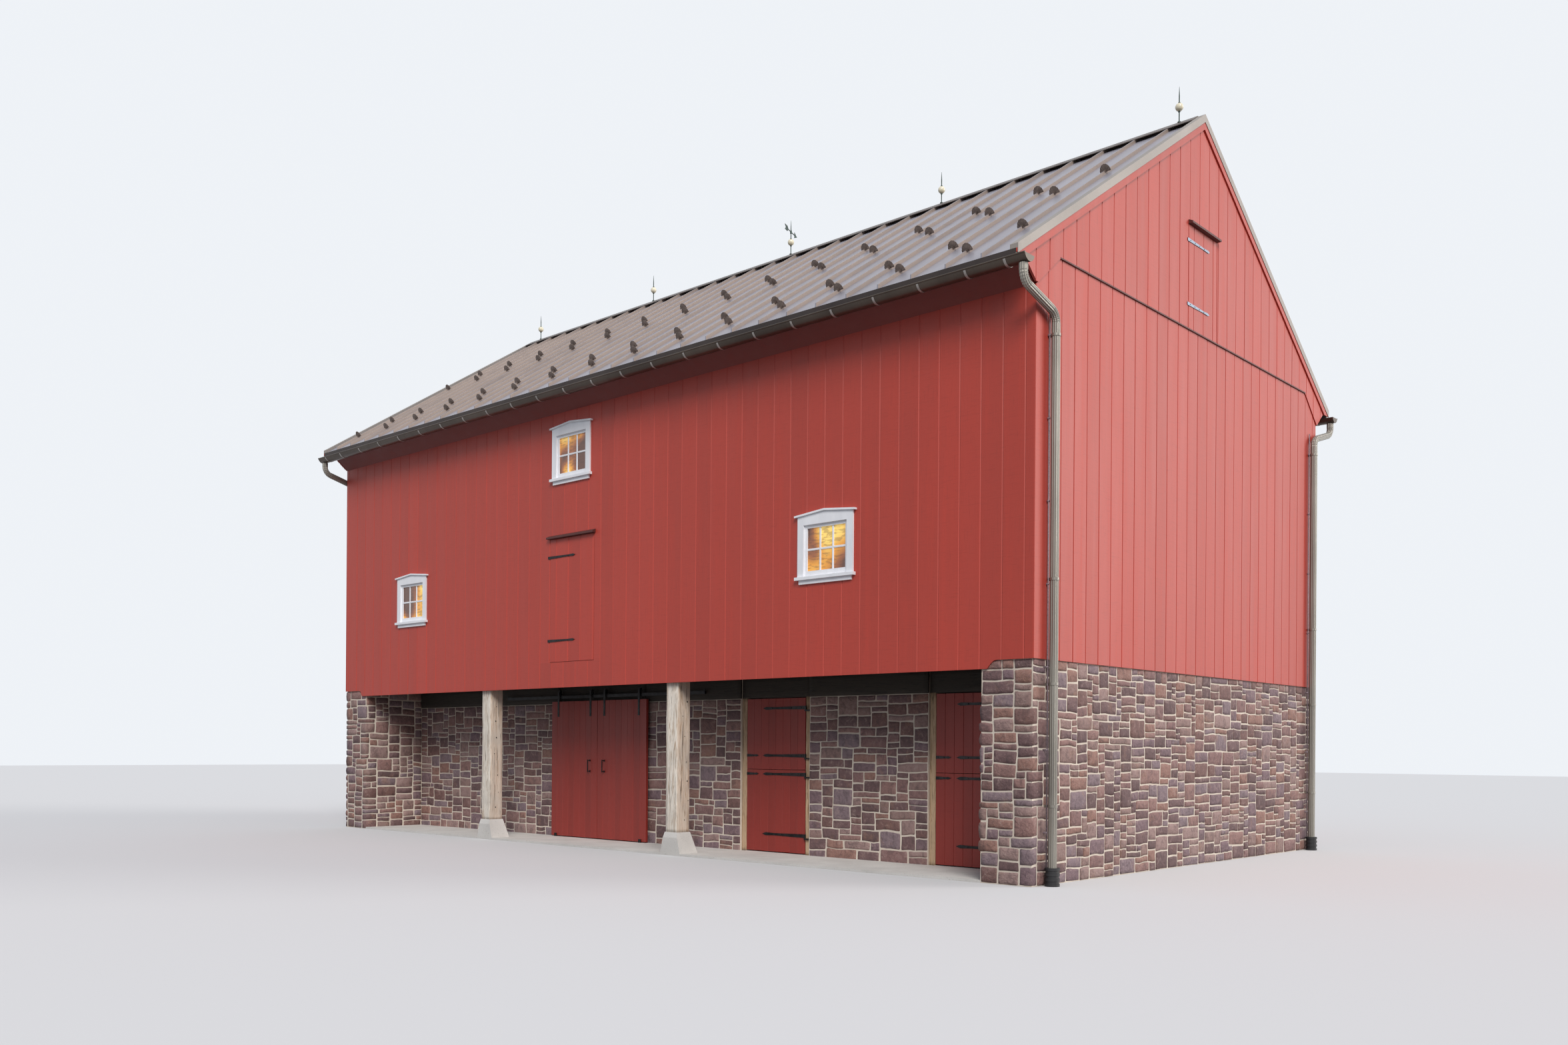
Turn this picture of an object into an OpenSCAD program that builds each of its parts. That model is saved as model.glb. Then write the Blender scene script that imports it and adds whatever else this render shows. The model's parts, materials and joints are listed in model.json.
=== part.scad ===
/* [Body of the barn] */
// Length along the front, over the gable boards
barn_len = 15240; // [12600:10:19000]
// Depth from the front boards to the rear boards
barn_dep = 8520; // [7400:10:9800]
// Height of the stone storey
stone_top = 2600; // [2500:10:2900]
// Height of the front wall where the soffit leaves it
wall_top = 6840; // [6500:10:7400]
// Drop of the front boards below the stone storey's top
skirt_drop = 100; // [60:10:130]

/* [Walls] */
// Thickness of the stone walls
stone_t = 600; // [450:10:680]
// Width of the piers in front of the recess
pier_w = 690; // [640:2:760]
// Setback of the stone faces behind the boards
stone_inset = 30; // [16:2:34]
// Depth of the recess under the upper storey
recess_dep = 1225; // [1150:5:1400]
// Thickness of the wall boards
board_t = 30; // [22:1:35]
// Depth of the timber frame behind the boards
frame_t = 120; // [90:5:180]
// Thickness of the upper floor
deck_t = 120; // [80:5:160]
// Thickness of the concrete floor above the ground line
slab_t = 30; // [20:2:40]
// Width of the raised end of the front boards
skirt_end_w = 480; // [420:10:520]
// Width of the curve that joins the two heights of the front boards
ogee_w = 120; // [100:10:160]

/* [Posts] */
// Width of the square posts
post_w = 260; // [220:10:300]
// Distance of the right post's centre from the right end
post_end = 6070; // [5800:5:6400]
// Distance between the posts' centres
post_span = 4605; // [4400:5:4800]
// Setback of the posts behind the boards' face
post_inset = 50; // [45:5:70]
// Height of the concrete footing
footing_h = 305; // [250:5:400]
// Spread of the footing on each side
footing_spread = 78; // [50:2:80]
// Height of the beam over the posts
beam_h = 260; // [200:10:300]

/* [Sliding doors] */
// Width of one sliding leaf
slide_leaf_w = 1220; // [1120:5:1260]
// Wall between the sliding leaves and the left Dutch door
slide_wall = 2119; // [2050:1:2200]
// Overlap of a leaf on the wall beside the doorway
slide_lap = 100; // [80:5:150]
// Gap between the leaf and the stone face
slide_gap = 60; // [52:1:75]
// Thickness of every door leaf
leaf_t = 45; // [38:1:55]
// Travel of each leaf
slide_travel = 1200; // [1100:10:1220]
// Height of the doorways
door_head = 2300; // [2200:10:2350]
// Gap under the leaves
door_gap = 15; // [8:1:25]
// Height of the rail's upper edge above the doorway
rail_rise = 140; // [130:5:160]
// Diameter of the hanger wheels
wheel_d = 90; // [70:2:100]

/* [Dutch doors] */
// Width of a leaf
dutch_w = 1172; // [1000:2:1200]
// Width of the timber jambs
jamb_w = 100; // [80:5:110]
// Wall between the two Dutch doors
dutch_wall = 2289; // [2100:1:2400]
// Wall between the right Dutch door and the pier
dutch_end = 355; // [340:1:420]
// Height where the leaf is split
dutch_split = 1250; // [1120:5:1350]
// Gap round a leaf
leaf_gap = 7; // [6:0.5:10]
// Setback of the leaf behind the wall face
leaf_setback = 25; // [12:1:40]
// Height of the hinge straps
strap_h = 52; // [40:1:60]
// Length of the hinge straps
strap_len = 844; // [700:2:900]
// Length of the latch straps
latch_len = 240; // [180:2:300]
// Thickness of the straps
strap_t = 8; // [5:0.5:10]
// Radius of the hinge pins
pin_r = 9; // [7:0.5:11]

/* [Windows and hatches] */
// Width of the window casing
win_w = 940; // [880:5:1000]
// Height of the casing at its sides
win_h = 790; // [740:5:840]
// Rise of the peaked head
win_peak = 45; // [30:1:80]
// Width of the casing boards
casing_w = 88; // [70:1:110]
// Casing thickness proud of the boards
casing_t = 25; // [15:1:35]
// Distance of the left window's centre from the left end
win_left_end = 2340; // [2000:5:2800]
// Centre of the middle window
win_mid_x = -735; // [-1100:5:-400]
// Distance of the right window's centre from the right end
win_right_end = 3110; // [2400:5:4000]
// Height of the two low windows' aprons
win_low_z = 3710; // [3450:5:4100]
// Height of the middle window's apron
win_high_z = 5710; // [5500:5:5750]
// Width of the front hatch
hatch_w = 1100; // [900:5:1200]
// Height of the front hatch
hatch_h = 1960; // [1700:5:2100]
// Height of the front hatch's lower edge
hatch_z = 2900; // [2880:5:3100]
// Centre of the front hatch
hatch_x = -720; // [-900:5:-500]
// Width of the gable hatches
loft_hatch_w = 900; // [700:5:1000]
// Height of the gable hatches
loft_hatch_h = 1420; // [1100:5:1500]
// Centre of the gable hatches, from the middle of the gable
loft_hatch_y = 20; // [-200:5:200]
// Length of the hatch straps
hatch_strap_len = 640; // [500:5:700]
// Distance of the front hatch's lower hinge from its lower edge
hatch_hinge_low = 345; // [200:5:400]
// Distance of the front hatch's upper hinge from its upper edge
hatch_hinge_high = 290; // [200:5:400]
// Distance of the gable hatches' lower hinges from their lower edges
loft_hinge_low = 335; // [180:5:400]
// Distance of the gable hatches' upper hinges from their upper edges
loft_hinge_high = 220; // [180:5:400]

/* [Gables] */
// Height of the horizontal belt on the gables
belt_z = 7260; // [7200:5:7300]
// Step of the upper gable boards over the lower ones
belt_step = 16; // [10:1:30]
// Thickness of the red rake boards
rake_board_t = 20; // [15:1:30]
// Depth of the rake boards below the roof, measured upright
rake_board_h = 66; // [50:1:140]
// Thickness of the metal rake trim
rake_trim_t = 8; // [6:1:16]
// Width of the rake trim on the roof
rake_trim_w = 100; // [60:5:130]
// Depth of the rake trim's face below the pan, measured upright
rake_trim_drop = 56; // [40:1:85]

/* [Roof] */
// Height of the roof surface over the front wall's top, at the wall's face
roof_lift = 570; // [540:5:600]
// Roof rise for each unit of run
roof_pitch = 0.6667; // [0.64:0.0001:0.7]
// Roof overhang beyond the front boards
eave_run = 454; // [420:2:480]
// Thickness of the roof, measured upright
roof_thick = 90; // [70:1:110]
// Height of the standing seams
seam_h = 54; // [35:1:60]
// Width of the standing seams
seam_w = 18; // [12:1:30]
// Spacing of the standing seams
seam_pitch = 495; // [400:5:620]
// Half width of the ridge cap
ridge_half = 160; // [120:5:220]
// Thickness of the ridge cap
ridge_t = 12; // [6:1:16]
// Rise of the soffit for each unit of run
soffit_pitch = 0.841; // [0.8:0.001:0.88]
// Thickness of the soffit boards
soffit_t = 30; // [20:1:40]

/* [Snow guards] */
// Distance of the upper guards from the ridge
guard_upper = 1900; // [1500:10:2000]
// Distance of the lower guards from the ridge
guard_lower = 3860; // [3500:10:3960]
// Stagger between neighbouring guards
guard_stagger = 420; // [300:10:450]
// Radius of a guard's shell
guard_r = 76; // [50:1:90]
// Thickness of a guard's shell
guard_t = 10; // [6:1:14]

/* [Gutters and downspouts] */
// Half the width of the round-bottomed gutters
gutter_half = 100; // [85:1:104]
// Depth of the gutters
gutter_deep = 80; // [70:1:84]
// Sheet thickness of the gutters
gutter_t = 4; // [3:0.5:6]
// Reach of the gutters beyond the roof's edge
gutter_reach = 50; // [40:1:60]
// Gutter length beyond the gable boards
gutter_over = 160; // [140:5:220]
// Distance between gutter brackets
bracket_pitch = 665; // [500:5:800]
// Outer radius of the downspouts
spout_r = 52; // [40:1:55]
// Distance of the downspout's axis from the gable boards
spout_off = 82; // [78:1:125]
// Distance of the downspout behind the front boards
spout_in = 295; // [250:5:340]
// Drop from the gutter's rim to where the sloping length meets the upright one
spout_drop = 466; // [440:2:600]
// Fall of the sloping length
spout_fall = 200; // [150:5:230]
// Radius of the elbows
elbow_r = 150; // [120:5:160]
// Outer radius of the drain adapters
boot_r = 85; // [75:1:90]
// Height of the drain adapters
boot_h = 210; // [160:5:260]

/* [Lightning rods] */
// Distance of the right end's rod from the gable boards
rod_right_end = 340; // [250:10:600]
// Distance of the left end's rod from the gable boards
rod_left_end = 400; // [250:10:600]
// Distance of the rod right of the middle
rod_right_mid = 3250; // [2500:10:4200]
// Distance of the rod left of the middle
rod_left_mid = 3620; // [2500:10:4200]
// Height of the rods above the ridge cap
rod_h = 500; // [400:10:600]
// Radius of the rods
rod_r = 8; // [6:0.5:10]
// Radius of the glass balls
ball_r = 57; // [45:1:65]
// Height of the balls above the ridge cap
ball_z = 215; // [180:5:240]
// Height of the middle rod above the ridge cap
vane_rod_h = 600; // [540:10:700]
// Length of the wind arrow
vane_len = 560; // [400:10:700]
// Heading of the wind arrow
vane_turn = 110; // [90:1:130]

/* [Hidden] */
$fn = 48;
seat = 0.3;          // clearance between pieces that only rest on each other
run_gap = 8;         // clearance round pieces that pass each other

// Plan lines, from the middle of the barn
front_y = -barn_dep / 2;
rear_y = barn_dep / 2;
gable_x = barn_len / 2;
wall_t = board_t + frame_t;
side_x = gable_x - board_t;
inner_x = gable_x - wall_t;
stone_x = gable_x - stone_inset;
pier_x = stone_x - pier_w;
room_x = stone_x - stone_t;
stone_front_y = front_y + stone_inset;
recess_y = front_y + recess_dep;
room_front_y = recess_y + stone_t;
room_rear_y = rear_y - stone_inset - stone_t;
beam_y = front_y + board_t;
beam_back_y = beam_y + post_w;
right_post_x = gable_x - post_end;
left_post_x = right_post_x - post_span;
win_left_x = win_left_end - gable_x;
win_right_x = gable_x - win_right_end;

// Roof lines
ridge_z = wall_top + roof_lift + (barn_dep / 2) * roof_pitch;
eave_y = barn_dep / 2 + eave_run;
function pan_z(y) = ridge_z - abs(y) * roof_pitch;
function under_z(y) = pan_z(y) - roof_thick;
function rest_z(y) = under_z(y) - seat;
function soffit_z(run) = wall_top + run * soffit_pitch;
soffit_run = (under_z(barn_dep / 2) - wall_top) / (roof_pitch + soffit_pitch);
clip_run = (belt_z - wall_top) / soffit_pitch;
flat_y = barn_dep / 2 - clip_run;
cap_z = ridge_z + seam_h;
ridge_top = cap_z + ridge_t;
upper_x = gable_x + belt_step;
rake_x = upper_x + rake_board_t;
trim_x = rake_x + rake_trim_t;

// Doors, measured from the right pier
dutch_right_x = pier_x - dutch_end - dutch_w;
dutch_left_x = dutch_right_x - dutch_wall - dutch_w;
slide_seam_x = dutch_left_x - slide_wall - slide_leaf_w;
slide_left_x = slide_seam_x - slide_leaf_w;
slide_right_x = slide_seam_x + slide_leaf_w;
slide_back_y = recess_y - slide_gap;
slide_front_y = slide_back_y - leaf_t;
slide_mid_y = (slide_back_y + slide_front_y) / 2;
leaf_over = 40;
slide_top = door_head + leaf_over;
leaf_foot = slab_t + door_gap;
way_left_x = slide_left_x + slide_lap;
way_right_x = slide_right_x - slide_lap;
rail_t = 8;
rail_h = 50;
rail_top = door_head + rail_rise;
rail_end = 120;
wheel_z = rail_top + wheel_d / 2 + seat;
wheel_t = 18;
dutch_front_y = recess_y + leaf_setback;
dutch_back_y = dutch_front_y + leaf_t;
hinge_out = 16;
hinge_y = dutch_front_y - hinge_out;
ledge_t = 25;
ledge_h = 120;
ledge_in = 60;

// A wall profile in the Y-Z plane, carried along X from x0 to x1
module along_x(x0, x1) {
    translate([x0, 0, 0])
        rotate([90, 0, 90])
            linear_extrude(height = x1 - x0)
                children();
}

// A box between two corners
module block(x0, x1, y0, y1, z0, z1) {
    translate([x0, y0, z0])
        cube([x1 - x0, y1 - y0, z1 - z0]);
}

module mirror_x() {
    children();
    mirror([1, 0, 0])
        children();
}

module mirror_y() {
    children();
    mirror([0, 1, 0])
        children();
}

module doorway_plan() {
    translate([way_left_x, recess_y])
        square([way_right_x - way_left_x, stone_t]);
    for (x = [dutch_left_x, dutch_right_x])
        translate([x, recess_y])
            square([dutch_w, stone_t]);
}

module ground_slab() {
    color("lightgray")
        linear_extrude(height = slab_t) {
            translate([-pier_x, stone_front_y])
                square([2 * pier_x, recess_y - stone_front_y]);
            doorway_plan();
            translate([-room_x, room_front_y])
                square([2 * room_x, room_rear_y - room_front_y]);
        }
}

// End wall with the pier that carries the front corner
module end_stone_wall() {
    color("rosybrown")
        linear_extrude(height = stone_top)
            polygon([[pier_x, stone_front_y], [stone_x, stone_front_y], [stone_x, rear_y - stone_inset],
                     [room_x, rear_y - stone_inset], [room_x, room_front_y], [pier_x, room_front_y]]);
}

module right_stone_wall() {
    end_stone_wall();
}

module left_stone_wall() {
    mirror([1, 0, 0])
        end_stone_wall();
}

module rear_stone_wall() {
    color("rosybrown")
        block(-room_x, room_x, room_rear_y, rear_y - stone_inset, 0, stone_top);
}

module front_stone_wall() {
    panels = [[-pier_x, way_left_x], [way_right_x, dutch_left_x - jamb_w],
              [dutch_left_x + dutch_w + jamb_w, dutch_right_x - jamb_w],
              [dutch_right_x + dutch_w + jamb_w, pier_x]];
    color("rosybrown")
        for (p = panels)
            block(p[0], p[1], recess_y, room_front_y, 0, stone_top);
}

// Timber over the wide doorway, and the jambs and heads of the divided doors
module door_frames() {
    color("tan") {
        block(way_left_x, way_right_x, recess_y, room_front_y, door_head, stone_top);
        for (x = [dutch_left_x, dutch_right_x])
            difference() {
                block(x - jamb_w, x + dutch_w + jamb_w, dutch_front_y, room_front_y, 0, stone_top);
                block(x, x + dutch_w, recess_y - 1, room_front_y + 1, -1, door_head);
            }
    }
}

// Hinge heights of the upper and lower leaves
strap_above_split = 206;
strap_below_head = 150;
strap_above_floor = 270;
strap_below_split = 66;
upper_strap_z = [dutch_split + strap_above_split, door_head - strap_below_head];
lower_strap_z = [slab_t + strap_above_floor, dutch_split - strap_below_split];
pin_gap = 0.5;

// A pintle: a plate on the jamb's face, with an upright pin
module pintle(x, z) {
    pin_x = x + dutch_w + leaf_gap;
    plate_in = 10;
    block(pin_x - pin_r, x + dutch_w + jamb_w - plate_in, hinge_y - pin_r, dutch_front_y,
          z - strap_h, z - strap_h / 2 - run_gap / 2);
    translate([pin_x, hinge_y, z - strap_h])
        cylinder(r = pin_r, h = 1.5 * strap_h);
}

module dutch_door_pintles() {
    color("black")
        for (x = [dutch_left_x, dutch_right_x])
            for (z = concat(upper_strap_z, lower_strap_z))
                pintle(x, z);
}

// Rail over the wide doorway with its stand-offs and end stops
module sliding_rail() {
    left = slide_left_x - slide_travel - rail_end;
    right = slide_right_x + slide_travel + rail_end;
    back_y = slide_mid_y + rail_t / 2;
    stand_in = 60;
    stand_half = 20;
    stand_edge = 5;
    spaces = 6;
    stop_w = 25;
    stop_h = 30;
    block(left, right, back_y - rail_t, back_y, rail_top - rail_h, rail_top);
    for (i = [0 : spaces])
        translate([left + stand_in + i * (right - left - 2 * stand_in) / spaces, 0, 0])
            block(-stand_half, stand_half, back_y, recess_y, rail_top - rail_h + stand_edge,
                  rail_top - stand_edge);
    for (x = [left, right - stop_w])
        block(x, x + stop_w, back_y - rail_t, back_y, rail_top, rail_top + stop_h);
}

// A forked guide that keeps the foot of a leaf in line
module floor_guide() {
    guide_w = 60;
    plate_t = 6;
    fork_t = 8;
    fork_h = 50;
    front = slide_front_y - run_gap - fork_t;
    back = slide_back_y + run_gap;
    block(0, guide_w, front, back + fork_t, slab_t, slab_t + plate_t);
    for (y = [front, back])
        block(0, guide_w, y, y + fork_t, slab_t + plate_t, slab_t + plate_t + fork_h);
}

module sliding_door_track() {
    color("dimgray") {
        sliding_rail();
        translate([way_left_x, 0, 0])
            floor_guide();
        translate([way_right_x, 0, 0])
            mirror([1, 0, 0])
                floor_guide();
    }
}

module forebay_posts() {
    color("tan")
        for (x = [left_post_x, right_post_x])
            translate([x - post_w / 2, front_y + post_inset, slab_t + footing_h])
                cube([post_w, post_w, stone_top - slab_t - footing_h]);
}

// A footing that spreads on all four sides
module footing() {
    half = post_w / 2;
    foot = half + footing_spread;
    intersection() {
        translate([0, foot, 0])
            rotate([90, 0, 0])
                linear_extrude(height = 2 * foot)
                    polygon([[-foot, 0], [foot, 0], [half, footing_h], [-half, footing_h]]);
        translate([-foot, 0, 0])
            rotate([90, 0, 90])
                linear_extrude(height = 2 * foot)
                    polygon([[-foot, 0], [foot, 0], [half, footing_h], [-half, footing_h]]);
    }
}

module post_footings() {
    color("lightgray")
        for (x = [left_post_x, right_post_x])
            translate([x, front_y + post_inset + post_w / 2, slab_t])
                intersection() {
                    footing();
                    // the front is cut back to the edge of the floor
                    translate([-post_w, -post_w / 2 - post_inset + stone_inset, 0])
                        cube([2 * post_w, 2 * post_w, footing_h]);
                }
}

module forebay_beam() {
    color("peru")
        block(-inner_x, inner_x, beam_y, beam_back_y, stone_top, stone_top + beam_h);
}

module upper_floor() {
    color("burlywood")
        block(-inner_x, inner_x, beam_back_y, rear_y - wall_t, stone_top, stone_top + deck_t);
}

// A window, from its apron's lower edge: sill, opening, sash and glass
sill_z = 95;
sill_h = 40;
sill_out = 55;
sill_over = 30;
head_rise = 10;
window_lip = 15;
sash_t = 45;
sash_w = 42;
sash_foot = 75;
sash_back = 50;
glass_t = 6;
function window_top() = sill_z + win_h;
function opening_top() = window_top() - casing_w - head_rise;
module window_opening(margin) {
    half = win_w / 2 - casing_w + margin;
    translate([-half, sill_z])
        square([2 * half, opening_top() + margin - sill_z]);
}

module glazing() {
    inset = casing_w + window_lip + sash_w;
    half = win_w / 2 - inset;
    translate([-half, sill_z + sash_foot])
        square([2 * half, opening_top() - window_lip - sash_w - sill_z - sash_foot]);
}

windows = [[win_left_x, win_low_z], [win_mid_x, win_high_z], [win_right_x, win_low_z]];

// The front board wall: its lower edge steps up to the stone piers in a curve
module front_outline() {
    low = stone_top - skirt_drop;
    end = side_x;
    step = gable_x - skirt_end_w;
    r = skirt_drop;
    difference() {
        polygon([[-end, low], [end, low], [end, wall_top], [-end, wall_top]]);
        for (s = [-1, 1])
            scale([s, 1]) {
                translate([step, low])
                    square([end - step + 1, skirt_drop]);
                difference() {
                    translate([step - ogee_w, low - 1])
                        square([ogee_w + 1, skirt_drop + 1]);
                    translate([step - ogee_w, low])
                        circle(r = r, $fn = 96);
                }
            }
    }
}

module front_siding() {
    color("firebrick")
        difference() {
            union() {
                translate([0, front_y + board_t, 0])
                    rotate([90, 0, 0])
                        linear_extrude(height = board_t)
                            front_outline();
                block(-side_x, side_x, front_y + board_t, front_y + wall_t, stone_top + beam_h, wall_top);
                for (s = [-1, 1])
                    scale([s, 1, 1])
                        block(inner_x, side_x, front_y + board_t, front_y + wall_t, stone_top,
                              stone_top + beam_h);
            }
            for (w = windows)
                translate([w[0], front_y + wall_t + 1, w[1]])
                    rotate([90, 0, 0])
                        linear_extrude(height = wall_t + 2)
                            window_opening(0);
            block(hatch_x - hatch_w / 2, hatch_x + hatch_w / 2, front_y - 1, front_y + wall_t + 1,
                  hatch_z, hatch_z + hatch_h);
        }
}

module rear_siding() {
    color("firebrick")
        block(-side_x, side_x, rear_y - wall_t, rear_y, stone_top, wall_top);
}

// The gable below the belt, with its clipped upper corners
module lower_gable_outline(half) {
    side = soffit_z(barn_dep / 2 - half);
    polygon([[-half, stone_top], [half, stone_top], [half, side], [flat_y, belt_z], [-flat_y, belt_z],
             [-half, side]]);
}

module gable_lower() {
    color("indianred") {
        along_x(side_x, gable_x)
            lower_gable_outline(barn_dep / 2);
        along_x(inner_x, side_x)
            lower_gable_outline(barn_dep / 2 - wall_t);
    }
}

module lower_gables() {
    mirror_x()
        gable_lower();
}

// The gable above the belt; its boards also close the ends of the cornices
module upper_board_outline() {
    half = barn_dep / 2;
    tip = soffit_run - run_gap;
    polygon([[-flat_y, belt_z], [flat_y, belt_z], [half, wall_top], [half + tip, soffit_z(tip)],
             [half + tip, rest_z(half + tip)], [0, rest_z(0)], [-half - tip, rest_z(half + tip)],
             [-half - tip, soffit_z(tip)], [-half, wall_top]]);
}

module upper_frame_outline() {
    half = barn_dep / 2 - wall_t;
    side = soffit_z(wall_t);
    polygon([[-flat_y, belt_z], [flat_y, belt_z], [half, side], [half, rest_z(half)], [0, rest_z(0)],
             [-half, rest_z(half)], [-half, side]]);
}

module upper_gables() {
    color("indianred")
        mirror_x()
            difference() {
                union() {
                    along_x(side_x, upper_x)
                        upper_board_outline();
                    along_x(inner_x, side_x)
                        upper_frame_outline();
                }
                block(inner_x - 1, upper_x + 1, loft_hatch_y - loft_hatch_w / 2,
                      loft_hatch_y + loft_hatch_w / 2, belt_z - 1, belt_z + loft_hatch_h);
            }
}

// A board leaf in a wall that faces -Y, with ledges on its back, from the middle of its lower edge
hatch_gap = 4;
ledge_end = 190;
module hatch_leaf(width, height, ledges) {
    half = width / 2;
    rise = height - 2 * ledge_end - ledge_h;
    block(hatch_gap - half, half - hatch_gap, 0, board_t, hatch_gap, height - hatch_gap);
    for (i = [0 : ledges - 1])
        translate([0, 0, ledge_end + rise * i / (ledges - 1)])
            block(ledge_in - half, half - ledge_in, board_t, board_t + ledge_t, 0, ledge_h);
}

module board_hatches() {
    color("firebrick") {
        translate([hatch_x, front_y, hatch_z])
            hatch_leaf(hatch_w, hatch_h, 3);
        mirror_x()
            translate([upper_x, loft_hatch_y, belt_z])
                rotate([0, 0, 90])
                    hatch_leaf(loft_hatch_w, loft_hatch_h, 2);
    }
}

// A strap hinge that tapers to a leaf point, lying on a wall that faces -Y, from x = 0
module strap(length, height) {
    root = height / 2;
    waist = height * 0.3;
    leaf = height * 0.42;
    neck = length * 0.72;
    tip = length - height * 1.2;
    rotate([90, 0, 0])
        linear_extrude(height = strap_t)
            polygon([[0, -root], [neck, -waist], [tip, -leaf], [length, 0],
                     [tip, leaf], [neck, waist], [0, root]]);
}

// A hatch hinge has a knuckle and a plate on the wall beside the leaf
small_strap_h = strap_h * 0.8;
module hatch_hinge() {
    plate_w = 40;
    strap(hatch_strap_len, small_strap_h);
    block(-plate_w, 0, -strap_t, 0, -small_strap_h / 2, small_strap_h / 2);
}

module hatch_hinges() {
    color("black") {
        for (z = [hatch_z + hatch_hinge_low, hatch_z + hatch_h - hatch_hinge_high])
            translate([hatch_x - hatch_w / 2, front_y, z])
                hatch_hinge();
        mirror_x()
            for (z = [belt_z + loft_hinge_low, belt_z + loft_hatch_h - loft_hinge_high])
                translate([upper_x, loft_hatch_y - loft_hatch_w / 2, z])
                    rotate([0, 0, 90])
                        hatch_hinge();
    }
}

// Small sloped boards that throw the rain off the hatches
cap_out = 60;
cap_face = 26;
cap_back = 56;
cap_over = 30;
module drip_cap(length) {
    translate([-length / 2, 0, 0])
        rotate([90, 0, 90])
            linear_extrude(height = length)
                polygon([[0, 0], [-cap_out, 0], [-cap_out, cap_face], [0, cap_back]]);
}

module drip_caps() {
    color("maroon") {
        translate([hatch_x, front_y, hatch_z + hatch_h])
            drip_cap(hatch_w + 2 * cap_over);
        mirror_x()
            translate([upper_x, loft_hatch_y, belt_z + loft_hatch_h])
                rotate([0, 0, 90])
                    drip_cap(loft_hatch_w + 2 * hatch_gap);
    }
}

// The casing's peaked outline, and the cap that follows its head
module casing_outline() {
    half = win_w / 2;
    polygon([[-half, sill_z], [half, sill_z], [half, window_top()], [0, window_top() + win_peak],
             [-half, window_top()]]);
}

module cap_outline() {
    over = 45;
    thick = 24;
    half = win_w / 2 + over;
    low = window_top() - win_peak * over / (win_w / 2);
    peak = window_top() + win_peak;
    polygon([[-half, low], [0, peak], [half, low], [half, low + thick], [0, peak + thick],
             [-half, low + thick]]);
}

module facing(y, t) {
    translate([0, y, 0])
        rotate([90, 0, 0])
            linear_extrude(height = t)
                children();
}

module window_frame() {
    cap_step = 22;
    apron_in = 25;
    apron_h = sill_z - sill_h;
    facing(front_y, casing_t)
        difference() {
            casing_outline();
            window_opening(-window_lip);
        }
    facing(front_y, casing_t + cap_step)
        cap_outline();
    facing(front_y, sill_out)
        translate([-win_w / 2 - sill_over, apron_h])
            square([win_w + 2 * sill_over, sill_h]);
    facing(front_y, casing_t)
        translate([-win_w / 2 + apron_in, 0])
            square([win_w - 2 * apron_in, apron_h]);
    facing(front_y + wall_t, wall_t)
        difference() {
            window_opening(0);
            window_opening(-window_lip);
        }
    facing(front_y + sash_back, sash_t)
        difference() {
            window_opening(-window_lip);
            glazing();
        }
}

module window_frames() {
    color("white")
        for (w = windows)
            translate([w[0], 0, w[1]])
                window_frame();
}

module window_glass() {
    color([0.7, 0.8, 0.85, 0.35])
        for (w = windows)
            translate([w[0], 0, w[1]])
                facing(front_y + sash_back - (sash_t - glass_t) / 2, glass_t)
                    glazing();
}

// The wall plate and the sloping soffit under each eave
soffit_tv = soffit_t * sqrt(1 + soffit_pitch * soffit_pitch);
module cornices() {
    half = barn_dep / 2;
    lip = (rest_z(half) - wall_top) / (roof_pitch + soffit_pitch);
    back = (rest_z(half) - wall_top - soffit_tv) / (roof_pitch + soffit_pitch);
    color("firebrick")
        mirror_y()
            along_x(-side_x, side_x)
                polygon([[-half, wall_top], [-half - lip, soffit_z(lip)],
                         [-half - back, rest_z(half + back)], [-half, wall_top + soffit_tv],
                         [-half, rest_z(half)],
                         [-half + wall_t, rest_z(half - wall_t)], [-half + wall_t, wall_top]]);
}

// One slope: the roof deck with the metal's standing seams
seam_half_count = floor((rake_x - rake_trim_w - seam_w) / seam_pitch + 0.5);
seam_sink = 10;
function seam_x(i) = (i + 0.5) * seam_pitch;
module roof_slope() {
    color("dimgray") {
        along_x(-upper_x, upper_x)
            polygon([[-eave_y, under_z(eave_y)], [0, under_z(0)], [0, pan_z(0)], [-eave_y, pan_z(eave_y)]]);
        for (i = [-seam_half_count : seam_half_count - 1])
            along_x(seam_x(i) - seam_w / 2, seam_x(i) + seam_w / 2)
                polygon([[-eave_y, pan_z(eave_y) - seam_sink], [-seam_w, pan_z(seam_w) - seam_sink],
                         [-seam_w, pan_z(seam_w) + seam_h], [-eave_y, pan_z(eave_y) + seam_h]]);
    }
}

module front_roof() {
    roof_slope();
}

module rear_roof() {
    mirror([0, 1, 0])
        roof_slope();
}

module ridge_cap() {
    half_x = rake_x - rake_trim_w;
    edge_z = pan_z(ridge_half) + seam_h;
    color("gray")
        along_x(-half_x, half_x)
            polygon([[-ridge_half, edge_z], [0, cap_z], [ridge_half, edge_z], [ridge_half, edge_z + ridge_t],
                     [0, ridge_top], [-ridge_half, edge_z + ridge_t]]);
}

// A band that follows both slopes, between two heights measured from the pan
module rake_band(top, bottom) {
    polygon([[-eave_y, pan_z(eave_y) + top], [0, pan_z(0) + top], [eave_y, pan_z(eave_y) + top],
             [eave_y, pan_z(eave_y) + bottom], [0, pan_z(0) + bottom], [-eave_y, pan_z(eave_y) + bottom]]);
}

// The red boards under the trim are cut away over the gutters
module rake_boards() {
    cut_gap = 45;
    cut_y = -gutter_y - gutter_half - cut_gap / 2;
    color("firebrick")
        mirror_x()
            along_x(upper_x, rake_x)
                difference() {
                    rake_band(0, -roof_thick - rake_board_h);
                    for (s = [-1, 1])
                        scale([s, 1])
                            translate([cut_y, 0])
                                square([2 * gutter_half, gutter_z + cut_gap]);
                }
}

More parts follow.
